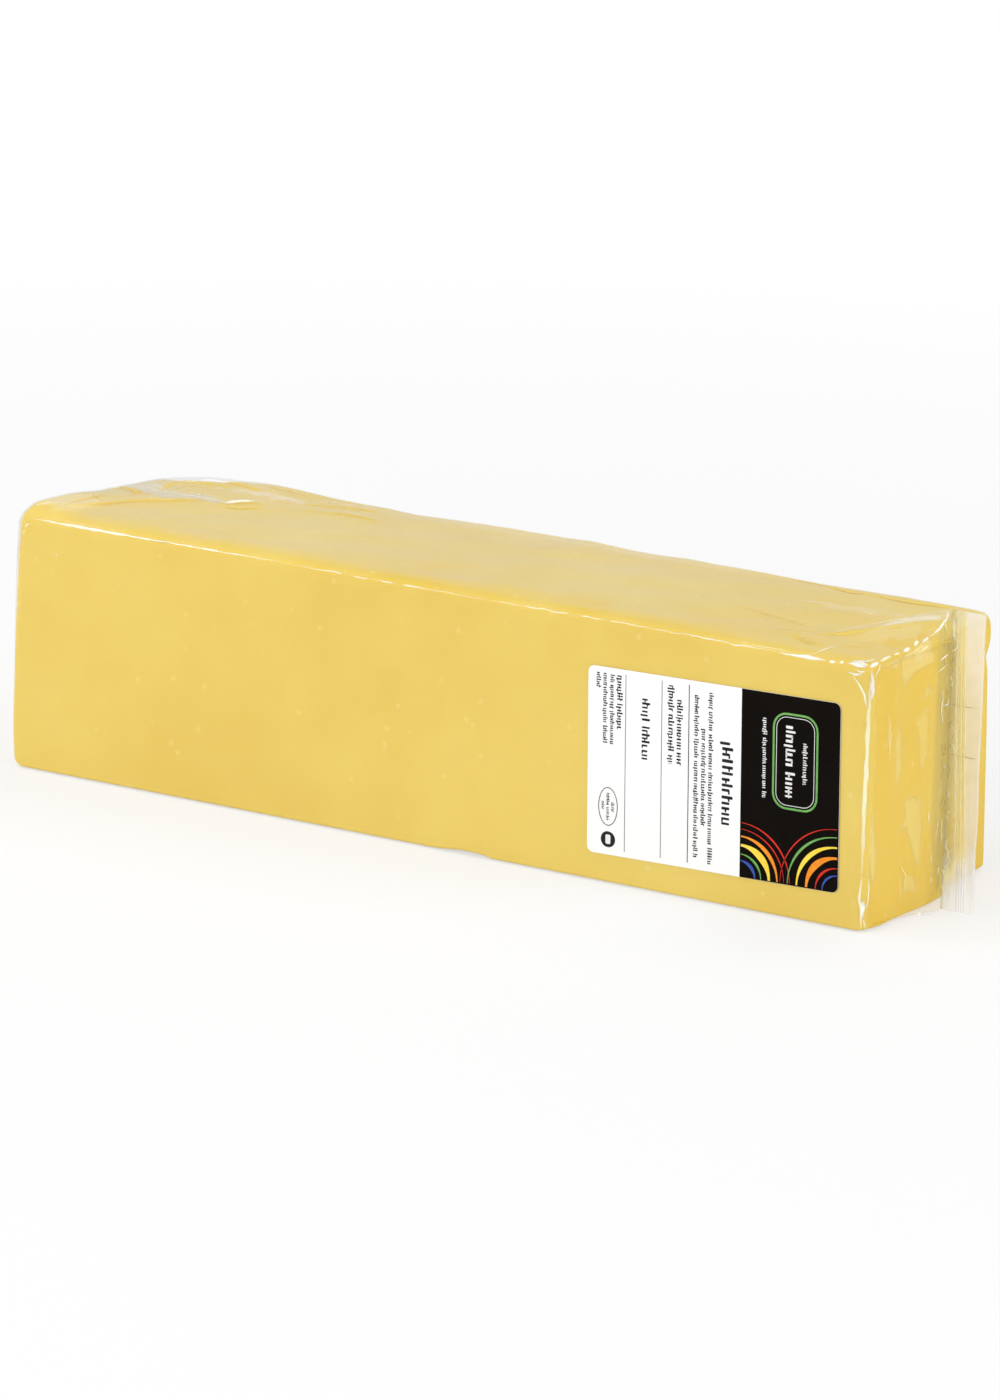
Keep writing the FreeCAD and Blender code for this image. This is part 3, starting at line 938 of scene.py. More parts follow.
# Painted sheen: pale cloudy places of the film on the top face, near its two ends.
TOP_PATCHES = (
    Patch((-164.0, -26.0), (14.0, 17.0), 0.0, 0.34, 0.74, 0.3),
    Patch((-112.0, 27.0), (20.0, 4.5), 3.0, 0.34, 1.0, 0.6),
    Patch((-132.0, 40.0), (13.0, 2.6), 0.0, 0.30, 1.0, 0.6),
    Patch((15.0, 38.5), (110.0, 7.0), 0.5, 0.24, 0.7, 0.3),
    Patch((172.0, 5.0), (9.0, 10.0), 30.0, 0.16, 0.9, 0.7),
    Patch((166.0, -14.0), (17.0, 6.0), 25.0, 0.16, 0.85, 0.6),
    Patch((138.0, 16.0), (18.0, 4.5), 12.0, 0.14, 1.0, 0.8),
)


@dataclass(frozen=True)
class Facet:
    """A flat piece of film that catches the light evenly, painted on as pale sheen, as a polygon with soft
    sides.
    """

    corners: Points
    haze_and_painted_light: float
    milk_and_painted_light: float = 0.75
    soft: float = 0.8


# Painted sheen of such pieces on the top face, in x and y: the raised film of the worn end, and the tent's
# band.
TOP_FACETS = (
    Facet(((-174.5, 12.6), (-169.8, 18.9), (-162.9, 25.2), (-156.7, 22.4), (-148.2, 13.3), (-141.1, 10.3),
           (-133.7, 13.8), (-124.4, 10.0), (-117.1, 6.6), (-121.4, 4.0), (-130.2, 4.4), (-137.2, 1.7),
           (-142.8, 0.3), (-149.0, 3.7), (-157.6, 9.0), (-167.1, 11.4)), 0.56, 0.55, 1.4),
    Facet(((160, -12.5), (163, -8.0), (166.5, -4.5), (172.5, -1.8), (179, -0.6), (179, -3.0), (171, -5.5),
           (163.5, -9.5)), 0.5, 0.95, 1.0),
)

# The same painted sheen on the sealed end, in y and z.
END_FACETS = (
    Facet(((-41.2, 43.2), (-37.8, 24.2), (-37.8, 15.2), (-41.1, 20.1), (-42.8, 32.8)), 0.13),
    Facet(((-20.9, 37.1), (-22.6, 33.5), (-26.1, 30.0), (-24.5, 34.3)), 0.15),
    Facet(((-23.3, 43.0), (-18.0, 42.5), (-13.2, 40.8), (-12.4, 27.9), (-12.7, 15.0), (-21.9, 33.0)),
          0.11, 0.75, 1.4),
    Facet(((-20.6, 15.4), (-16.2, 13.6), (-14.7, 9.6), (-17.0, 8.4), (-22.2, 10.3)), 0.11),
    Facet(((-19.9, 97.7), (-7.7, 97.0), (-7.6, 88.8), (-17.8, 87.1), (-23.7, 83.8), (-25.6, 88.5),
           (-24.6, 93.2)), 0.16, 0.75, 2.2),
    Facet(((-18.5, 97.5), (-13.5, 97.0), (-11.5, 91.0), (-15.5, 90.0)), 0.34, 0.75, 2.4),
    Facet(((-38.8, 96.8), (-24.1, 97.7), (-28.9, 91.1), (-38.2, 93.2)), 0.16, 0.75, 1.6),
    Facet(((-10.8, 82.6), (-8.6, 78.6), (-13.3, 76.7)), 0.12),
    Facet(((-31.0, 66.0), (-27.5, 70.0), (-25.5, 55.0), (-29.0, 50.0)), 0.07),
    Facet(((-16.0, 70.0), (-11.0, 74.0), (-9.5, 58.0), (-13.5, 52.0)), 0.07),
)

# Creases of the top face that show no shine: line in x and y, half width and share of it lost.
TOP_CREASES = (
    (FRONT_WRINKLE, 1.8, 1.0),
    (((-174, 10), (-166, 12.0), (-160, 9), (-152, 2)), 1.5, 1.0),
    (((-148, 10), (-152.5, 21), (-149, 28), (-141, 28.6), (-132, 29.4)), 1.6, 1.0),
    (((-116, 2.2), (-110.3, 3.2), (-105.4, 8)), 1.6, 1.0),
    (REAR_WRINKLE, 2.0, 1.0),
    (((-94, 26), (-84.4, 31), (-70, 33)), 2.0, 1.0),
    (((-88, 18), (-76, 20.2), (-63, 20.5)), 1.8, 0.9),
    (((134, 36.8), (147, 38), (161, 39.6)), 2.4, 1.0),
    (((115, 39.0), (124, 37.4), (130, 38)), 2.0, 1.0),
    (((-55, 41), (-20, 42.5), (20, 42.5), (60, 42.5), (100, 42.5)), 1.4, 0.7),
    (((143, -20.4), (148, -18.6), (152, -16.8), (158, -14.6)), 1.6, 1.0),
    (((135, -27), (142, -31), (149, -34)), 3.4, 0.8),
    (((156, -31.5), (160, -28.5), (164, -27)), 1.8, 0.7),
    (((106, -8), (120, -10), (134, -13)), 3.0, 0.6),
    (((20, -34), (44, -35), (66, -33)), 4.0, 0.6),
)


@dataclass
class Film:
    """The clear film: a sleeve round the block that closes into an upright end seal.

    The sleeve is one closed surface. At the sealed end its two sides come together on the root
    of the end seal and run on as two layers to the seal's free edge.
    """

    form: BlockForm
    layer: float = 0.28
    crimp: tuple[float, float] = (182.3, 185.7)
    crimp_depth: float = 0.24
    free_edge: float = 193.5
    pitch: float = 0.9
    lean: float = 4.2
    seam: tuple[float, float] = (53.0, 71.0)
    seam_thick: float = 0.30
    skin: Array | None = None

    def seal_place(self, run: Array, z: Array) -> Array:
        """X of the end seal at a run from its root.

        Args:
            run: place along the seal, as the X that it would have without a lean.
            z: height.

        Returns:
            The X, its crimps leaning outwards towards the foot.
        """
        lean = self.lean * (1.0 - z / self.form.fin_top)
        return run + (lean * ease(self.form.fin_root, self.crimp[0] + 0.4, run)
                      * ease(self.free_edge, self.crimp[1], run))

    def seal_side(self, run: Array, z: Array) -> Array:
        """Y of the middle of the end seal.

        Args:
            run: place along the seal.
            z: height.

        Returns:
            The Y: the ripples of the crimps over a slow wave, with puckers at the root.
        """
        start, end = self.crimp
        inside = ease(start - 0.2, start + 0.3, run) * ease(end + 0.3, end - 0.2, run)
        ripple = self.crimp_depth * inside * np.sin(2.0 * np.pi * (run - start) / self.pitch)
        wave = 0.55 * wander(run, z, 26.0, 31) * ease(self.form.fin_root, self.free_edge, run)
        pucker = 0.25 * wander(2.5 * run, z, 8.0, 32) * ease(start + 0.2, self.form.fin_root, run)
        return self.form.fin_place + ripple + wave + pucker

    def build(self) -> bpy.types.Object:
        """Build the sleeve, its ends and the end seal as one surface.

        Returns:
            The piece.
        """
        form = self.form
        loop = Loop.build(80, 96, 42, 24, 9)
        sleeve = Sleeve(form, gap=0.0, edge_round=2.2, worn_top=4.4, worn_low=4.0, tented=True,
                        line_half=self.layer / 2, closing_rows=48)
        worn, body, closing = sleeve.build(loop, 1.35)
        root = closing[-1]
        side = np.where(root[:, 1] < form.fin_place, -1.0, 1.0)
        run = np.concatenate([np.linspace(form.fin_root, self.crimp[0], 4)[1:],
                              np.arange(self.crimp[0], self.crimp[1], self.pitch / 6.0)[1:],
                              np.linspace(self.crimp[1], self.free_edge, 12)])[:, None]
        z = root[:, 2] + 0.0 * run
        seam = ease(self.seam[0], self.seam[0] + 0.6, z) * ease(self.seam[1], self.seam[1] - 0.6, z)
        y = self.seal_side(run, z) + side * self.layer / 2 + self.seam_thick * seam * (side > 0)
        seal = np.stack([self.seal_place(run, z), y, z], axis=-1)
        self.skin = self.kicked(np.concatenate([worn, body, closing, seal]))
        fields = self.cloud(len(worn), len(body), len(closing), loop, run)
        return make_skin("clear_film", self.skin, FilmFinish().build(), fields)

    def press(self, points: Array, out: Array) -> tuple[Array, Array]:
        """Move points onto the film.

        Each point goes to the plane through the nearest point of the film's grid that faces the
        same way.

        Args:
            points: points close to the film.
            out: outward directions that they should about follow.

        Returns:
            The moved points and the film's own directions there.
        """
        skin = self.skin
        round_it = np.roll(skin, -1, axis=1) - np.roll(skin, 1, axis=1)
        normal = unit(np.cross(np.gradient(skin, axis=0), round_it))
        low, high = points.min(0) - 6.0, points.max(0) + 6.0
        near = ((skin > low) & (skin < high)).all(-1) & (normal @ out.mean(0) > 0.25)
        places, ways = skin[near], normal[near]
        gap = ((points[:, None].astype(np.float32) - places[None].astype(np.float32)) ** 2).sum(-1)
        pick = gap.argmin(1)
        way = ways[pick]
        return points - way * ((points - places[pick]) * way).sum(-1, keepdims=True), way

    def kicked(self, points: Array) -> Array:
        """Move the foot of the end seal, the more the further a point lies out.

        Near the table the film beside the root follows the root, and makes a web there.

        Args:
            points: points of the film before its foot is bent.

        Returns:
            The moved points.
        """
        moved = points.copy()
        seal = ease(self.form.half_length + 2.0, self.crimp[0] + 1.0, points[..., 0])
        web = (ease(24.0, 1.0, np.abs(points[..., 1] - self.form.fin_place))
               * ease(170.0, 176.0, points[..., 0]))
        hold = np.maximum(seal, web)
        shift_x, shift_y = self.form.kick(points[..., 2])
        moved[..., 0] += hold * shift_x
        moved[..., 1] += hold * shift_y
        return moved

    def cloud(self, worn: int, body: int, closing: int, loop: Loop, run: Array) -> dict[str, Array]:
        """Work out the numbers that the film's finish reads.

        Args:
            worn: rows of the worn end.
            body: rows of the sleeve.
            closing: rows that close the sealed end.
            loop: points round a section.
            run: place along the end seal of each of its rows.

        Returns:
            The cover and tint of the cloudy layer, which carry its painted highlights, sheen and shade, and
            cling at each point of the film.
        """
        x, y, z = self.skin[..., 0], self.skin[..., 1], self.skin[..., 2]
        row = np.arange(len(x))[:, None]
        top = (loop.out_z > 0.6)[None, :] & (row >= worn) & (row < worn + body)
        haze_and_painted_light, milk_and_painted_light = self.top_painted_sheen(x, y, top)
        # Painted sheen: the film's rim, standing off the top corner of the worn end, gets cream-white cloud
        # for the light it catches edge on.
        corner = 0.5 * (ease(-172.5, -176.0, x) * ease(30.0, 88.0, z) * ease(worn - 3.5, worn - 0.5, row))
        milk_and_painted_light = np.where(corner > haze_and_painted_light, 0.85, milk_and_painted_light)
        haze_and_painted_light = np.maximum(haze_and_painted_light, corner)
        start = worn + body + closing
        end = slice(worn + body, start)
        haze_and_painted_light[end], milk_and_painted_light[end] = self.end_painted_shade_and_sheen(y[end], z[end])
        front = y[start - 1] < self.form.fin_place
        haze_and_painted_light[start:], milk_and_painted_light[start:] = self.seal_painted_shade_and_haze(x[start:], z[start:], run, front)
        return {"haze_and_painted_light": np.clip(haze_and_painted_light, 0.0, 1.0), "milk_and_painted_light": milk_and_painted_light, "cling": self.cling(x, y, z, top)}

    @staticmethod
    def top_painted_sheen(x: Array, y: Array, top: Array) -> tuple[Array, Array]:
        """Cover and tint of the sleeve: nearly clear, with painted sheen on the top face, from a little more
        white cloud over all of it and from pale patches and facets.

        Args:
            x: place along the block.
            y: place across it.
            top: whether a point lies on the top face.

        Returns:
            Cover and tint, each tint that of the haziest patch or facet there.
        """
        # Painted sheen: the top face gets more white cloud than the other faces.
        haze_and_painted_light = np.where(top, 0.02 + 0.02 * wander(x, y, 30.0, 71), 0.012)
        milk_and_painted_light = np.ones(x.shape)
        for seed, patch in enumerate(TOP_PATCHES):
            cover = patch.cover(x, y, 60 + seed) * top
            milk_and_painted_light = np.where(cover * patch.haze_and_painted_light > haze_and_painted_light, patch.milk_and_painted_light, milk_and_painted_light)
            haze_and_painted_light = np.maximum(haze_and_painted_light, cover * patch.haze_and_painted_light)
        for facet in TOP_FACETS:
            cover = within(x, y, facet.corners, facet.soft) * top
            milk_and_painted_light = np.where(cover * facet.haze_and_painted_light > haze_and_painted_light, facet.milk_and_painted_light, milk_and_painted_light)
            haze_and_painted_light = np.maximum(haze_and_painted_light, cover * facet.haze_and_painted_light * (0.85 + 0.15 * wander(x, y, 9.0, 77)))
        return haze_and_painted_light, milk_and_painted_light

    @staticmethod
    def end_painted_shade_and_sheen(y: Array, z: Array) -> tuple[Array, Array]:
        """Cover and tint of the sealed end: painted shade in deep yellow over all of it, painted olive shade
        by the seal's root, and pale facets of painted sheen.

        Args:
            y: place across the block.
            z: height.

        Returns:
            Cover and tint.
        """
        # Painted shade: deep-yellow cloud darkens the whole end, and olive cloud the strip by the seal's
        # root.
        near_root = ease(-6.5, -1.5, y) * ease(14.0, 9.0, y)
        haze_and_painted_light = 0.18 + 0.10 * near_root
        milk_and_painted_light = np.where(near_root > 0.3, 0.25, 0.0)
        for facet in END_FACETS:
            cover = within(y, z, facet.corners, facet.soft)
            milk_and_painted_light += (facet.milk_and_painted_light - milk_and_painted_light) * (cover > 0.5)
            haze_and_painted_light += (facet.haze_and_painted_light - haze_and_painted_light) * cover
        return haze_and_painted_light, milk_and_painted_light

    def seal_painted_shade_and_haze(self, x: Array, z: Array, run: Array, front: Array) -> tuple[Array, Array]:
        """Cover and tint of the end seal: painted olive shade by its root, paling to milky white welded film.

        Args:
            x: place along the block.
            z: height.
            run: place along the seal.
            front: whether a point lies on its front layer, which carries most of the cloud.

        Returns:
            Cover and tint, which rise over the crimps, the margin and the foot.
        """
        flat = ease(self.crimp[0] - 0.5, self.crimp[0] + 0.3, run)
        margin = ease(self.crimp[1] - 0.3, self.crimp[1] + 0.5, run)
        low = ease(22.0, 4.0, z)
        # The tint starts at olive, painted shade by the seal's root, and pales to milky white over the
        # crimps, the margin and the foot.
        haze_and_painted_light = 0.22 + 0.10 * flat + 0.18 * margin + 0.32 * low + 0.03 * wander(x, z, 9.0, 72)
        milk_and_painted_light = np.clip(0.25 + 0.45 * flat + 0.30 * margin + 0.8 * low, 0.0, 1.0)
        return haze_and_painted_light * np.where(front, 1.0, 0.3), milk_and_painted_light

    @staticmethod
    def cling(x: Array, y: Array, z: Array, top: Array) -> Array:
        """Share of its shine that the film loses where it lies tight on the cheese.

        Args:
            x: place along the block.
            y: place across it.
            z: height.
            top: whether a point lies on the top face.

        Returns:
            The share, which is higher in the creases and round the rims of the sealed end.
        """
        share = np.where(top, 1.0 - (0.62 - 0.14 * ease(30.0, 150.0, x)) * ease(-42.5, -38.0, y), 0.45)
        rim = 0.8 * ease(171.0, 175.0, x) * ease(181.5, 180.0, x) * ease(99.0, 94.0, z)
        back = ease(15.0, 22.0, y) * ease(160.0, 172.0, x) * ease(97.0, 93.0, z)
        share = np.maximum(np.maximum(share, rim), back)
        for path, width, lost in TOP_CREASES:
            line = resample(path, 1.5)
            gap = np.hypot(x[top][:, None] - line[:, 0], y[top][:, None] - line[:, 1]).min(-1)
            share[top] = np.maximum(share[top], lost * ease(1.6 * width, 0.4 * width, gap))
        return share


def film_strip(name: str, outer: Array, inner: Array, haze_and_painted_light: Array,
               finish: bpy.types.Material) -> bpy.types.Object:
    """Make a strip of welded film from two grids of points, one over the other.

    Args:
        name: name of the piece.
        outer: rows of points on its outside.
        inner: the same rows on its inside.
        haze_and_painted_light: cover of the milky cloud of its outside; its inside has none.
        finish: finish of the strip.

    Returns:
        The piece, a closed skin.
    """
    haze_and_painted_light = np.concatenate([haze_and_painted_light, 0.0 * haze_and_painted_light], axis=1)
    fields = {"haze_and_painted_light": haze_and_painted_light, "milk_and_painted_light": np.full(haze_and_painted_light.shape, 0.9), "cling": np.full(haze_and_painted_light.shape, 0.35)}
    return make_skin(name, np.concatenate([outer, inner[:, ::-1]], axis=1), finish, fields)


@dataclass
class LongSeam:
    """The film's long seam: two layers folded flat along the back face."""

    form: BlockForm
    low: float = 53.0
    width: float = 18.0
    thick: float = 0.7
    half_length: float = 172.3
    bedding: float = 0.05

    def build(self, finish: bpy.types.Material) -> bpy.types.Object:
        """Build the seam as a strip that follows the back, thin at its long edges.

        Args:
            finish: finish of the seam.

        Returns:
            The piece.
        """
        x, v = np.meshgrid(np.arange(-self.half_length, self.half_length + 1.0, 2.0),
                           np.linspace(0.0, 1.0, 25), indexing="ij")
        z = self.low + self.width * (1.0 - v) + 0.35 * waver(x, 60.0, 91) * (1.0 - v)
        edges = ease(0.0, 0.03, 1.0 - v) * ease(0.0, 0.03, v)
        rise = self.thick * edges * (0.75 + 0.25 * np.cos(6.0 * np.pi * v) ** 2)
        lift = 0.04 + rise * (1.0 + 0.2 * wander(x, z, 24.0, 92))
        face = self.form.half_width + self.form.back(x, z)
        haze_and_painted_light = (0.08 + 0.14 * ease(0.12, 0.04, np.abs(v - 0.5))
                + 0.25 * ease(0.06, 0.0, np.minimum(v, 1.0 - v)))
        return film_strip("long_seam", np.stack([x, face + lift, z], -1),
                          np.stack([x, face - self.bedding, z], -1),
                          haze_and_painted_light + 0.04 * wander(x, z, 20.0, 93), finish)


@dataclass
class FoldedSeal:
    """The other end seal, folded flat against the worn end, with its crimps."""

    form: BlockForm
    reach: float = 18.0
    low: float = 10.0
    high: float = 84.0
    thick: float = 0.7
    pitch: float = 1.2
    crimp: tuple[float, float] = (5.4, 11.4)
    crimp_depth: float = 0.3
    bedding: float = 0.15

    def build(self, finish: bpy.types.Material) -> bpy.types.Object:
        """Build the seal as a strip that follows the worn end, with ripples along its height.

        Args:
            finish: finish of the seal.

        Returns:
            The piece.
        """
        z, run = np.meshgrid(np.linspace(self.low, self.high, 60), np.arange(0.0, self.reach + 0.1, 0.2),
                             indexing="ij")
        y = self.form.fin_place + run + 0.3 * waver(z, 30.0, 94) * run / self.reach
        ends = (ease(0.0, 0.6, self.reach - run) * ease(0.0, 0.6, run)
                * ease(self.low, self.low + 1.0, z) * ease(self.high, self.high - 1.0, z))
        start, end = self.crimp
        inside = ease(start - 0.3, start + 0.3, run) * ease(end + 0.3, end - 0.3, run)
        ripple = self.crimp_depth * inside * np.cos(2.0 * np.pi * (run - start - self.pitch / 2) / self.pitch)
        lift = 0.55 + (self.thick + ripple + 0.15 * wander(y, z, 14.0, 95)) * ends
        face = self.form.worn(z)
        haze_and_painted_light = 0.12 + 0.20 * inside + 0.10 * ease(end, end + 1.0, run) + 0.25 * (1.0 - ends)
        return film_strip("folded_seal", np.stack([face - lift, y, z], -1),
                          np.stack([face - self.bedding, y, z], -1),
                          haze_and_painted_light + 0.04 * wander(y, z, 12.0, 96), finish)


# ---------------------------------------------------------------- folds in the film


class Face(Enum):
    """The faces of the pack that a fold line may lie on, and the places that it is given in."""

    TOP = "x and y on the top face"
    FRONT = "x and z on the front face"
    END = "y and z on the sealed end"
    SEAL = "run and z on the end seal"
    TOP_EDGE = "x along the front top edge, and a shift up it"
    UPRIGHT = "z up the front edge of the sealed end, and a shift round it"
    RIM = "y along the top edge of the sealed end, and a shift up it"


@dataclass(frozen=True)
class Fold:
    """A sharp fold line of the film: a narrow arched ribbon along a wavering line, coloured as a painted
    highlight when pale and as painted shade when deep yellow or olive.
    """

    face: Face
    path: Points
    width: float = 0.8
    haze_and_painted_light: float = 0.6
    milk_and_painted_light: float = 1.0
    waver: float = 0.25
    breaks: float = 0.0
    rise: float = 0.12


@dataclass
class FoldLines:
    """All fold lines of the film, as one piece of narrow ribbons just proud of it, which carry the film's
    painted highlights and painted shade.
    """

    form: BlockForm
    film: Film
    step: float = 0.8
    edge_round: float = 2.2
    # The ribbon's section: places across it, from 1 to -1 over its arch and back along its foot.
    arch: tuple[float, ...] = (1.0, 0.6, 0.0, -0.6, -1.0)
    foot: tuple[float, ...] = (-0.9, 0.9)
    cover: tuple[float, ...] = (0.1, 0.9, 1.0, 0.9, 0.1, 0.0, 0.0)
    foot_depth: float = 0.12
    clearance: float = 0.03
    cling: float = 0.85

    def lay(self, face: Face, u: Array, v: Array) -> tuple[Array, Array]:
        """Points of the film for places on a face, and the outward directions there.

        Args:
            face: face that the places are on.
            u: first place.
            v: second place.

        Returns:
            Points and unit directions, one row each.
        """
        form, zero = self.form, 0.0 * u
        turn = np.radians(45.0) + v / self.edge_round
        up, over = self.edge_round * (1.0 - np.sin(turn)), self.edge_round * (1.0 - np.cos(turn))
        if face is Face.TOP:
            places, out = (u, v, form.film_top(u, v)), (0.0, -0.15, 1.0)
        elif face is Face.FRONT:
            places, out = (u, zero - form.half_width, v), (0.0, -1.0, 0.0)
        elif face is Face.END:
            places, out = (form.half_length + form.swell(u, v), u, v), (1.0, -0.1, 0.0)
        elif face is Face.SEAL:
            side = self.film.seal_side(u, v) - self.film.layer / 2
            places, out = (self.film.seal_place(u, v), side, v), (0.0, -1.0, 0.0)
        elif face is Face.TOP_EDGE:
            places = (u, up - form.half_width, form.top(u, zero - 44.4) - over)
            out = (0.0, -0.7, 0.7)
        elif face is Face.UPRIGHT:
            places, out = (form.half_length + 0.3 - up, over - form.half_width, u), (0.7, -0.7, 0.0)
        else:
            height = form.top(zero + form.half_length, u) + form.tent_rise(zero + form.half_length + 3.5, u)
            places = (form.half_length - 0.7 + form.swell(u, height), u, height - 0.5 + v)
            out = (0.6, -0.1, 0.75)
        points = np.stack(places, axis=-1)
        direction = np.broadcast_to(np.asarray(out) / np.linalg.norm(out), points.shape)
        return self.film.press(self.film.kicked(points), direction)

    def ribbon(self, fold: Fold, seed: int) -> tuple[Array, Array]:
        """Work out one ribbon.

        Its section is a parabola over the width and a flat foot below it. It is carried along the
        wavering line and tapers to both ends as the root of a half sine.

        Args:
            fold: the fold line.
            seed: number that fixes how it wavers and breaks.

        Returns:
            Its points ring by ring, and at each the cover of the cloud that paints its highlight and shade.
        """
        line = resample(fold.path, self.step)
        place = np.arange(len(line)) * self.step
        tangent = unit(np.gradient(line, axis=0))
        shift = fold.waver * wander(place, 0.0 * place + seed, 7.0, seed)
        line = line + np.stack([-tangent[:, 1], tangent[:, 0]], 1) * shift[:, None]
        centre, out = self.lay(fold.face, line[:, 0], line[:, 1])
        across = unit(np.cross(unit(np.gradient(centre, axis=0)), out))
        share = np.linspace(0.0, 1.0, len(line))
        taper = np.sqrt(np.sin(np.pi * np.clip(share, 0.004, 0.996)))
        live = 1.0 - fold.breaks * ease(-0.1, 0.6, waver(place, 11.0, seed + 500))
        wide = 0.5 * fold.width * taper * (0.75 + 0.25 * waver(place, 9.0, seed + 900)) * (0.4 + 0.6 * live)
        t = np.array(self.arch + self.foot)
        high = np.where(np.arange(len(t)) < len(self.arch), fold.rise * (1 - t ** 2), -self.foot_depth)
        rings = (centre[:, None] + across[:, None] * (wide[:, None] * t)[..., None]
                 + out[:, None] * (high * taper[:, None] + self.clearance)[..., None])
        return rings, (fold.haze_and_painted_light * live * taper)[:, None] * np.array(self.cover)

    def build(self) -> bpy.types.Object:
        """Build every ribbon into one piece.

        Returns:
            The piece.
        """
        points, faces, haze_and_painted_light, milk_and_painted_light, start = [], [], [], [], 0
        for seed, fold in enumerate([*FOLDS, *self.puckers()]):
            rings, cover = self.ribbon(fold, seed)
            points.append(rings.reshape(-1, 3))
            faces += [[start + n for n in face] for face in grid_faces(*rings.shape[:2])]
            haze_and_painted_light.append(cover.reshape(-1))
            milk_and_painted_light.append(np.full(cover.size, fold.milk_and_painted_light))
            start += cover.size
        fields = {"haze_and_painted_light": np.concatenate(haze_and_painted_light), "milk_and_painted_light": np.concatenate(milk_and_painted_light),
                  "cling": np.full(start, self.cling)}
        # The ribbons' white is the cream white of painted highlights.
        finish = FilmFinish("folded_film_painted_light", white=(1.0, 0.99, 0.92)).build()
        return make_piece("film_folds_painted_light", np.concatenate(points), faces, finish, fields)

    @staticmethod
    def puckers() -> list[Fold]:
        """Draw short seeded puckers along the root of the end seal.

        Returns:
            Fold lines, some bright as painted highlights and some dark as painted olive shade, on the sealed
            end and on the seal.
        """
        rng = np.random.default_rng(17)
        folds = []
        for z in np.arange(4.0, 99.0, 1.5):
            height = z + rng.uniform(-1.0, 1.0)
            length, bend = rng.uniform(1.5, 7.0), rng.uniform(-1.2, 1.2)
            # Bright puckers are painted highlights in cream, dark ones painted shade in olive.
            bright = rng.random() < 0.6
            style = {"width": rng.uniform(0.4, 1.1), "haze_and_painted_light": rng.uniform(0.5, 0.95) if bright else 0.35,
                     "milk_and_painted_light": rng.uniform(0.75, 0.9) if bright else 0.25, "waver": 0.3}
            face = Face.END if rng.random() < 0.55 else Face.SEAL
            low, high, sway, drift = (-1.2, 3.8, 0.6, 0.8) if face is Face.END else (180.8, 182.1, 0.4, 0.4)
            root = rng.uniform(low, high)
            path = ((root, height), (root + sway * bend, height + 0.5 * length),
                    (root + rng.uniform(-drift, drift), height + length))
            folds.append(Fold(face, path, **style))
        return folds


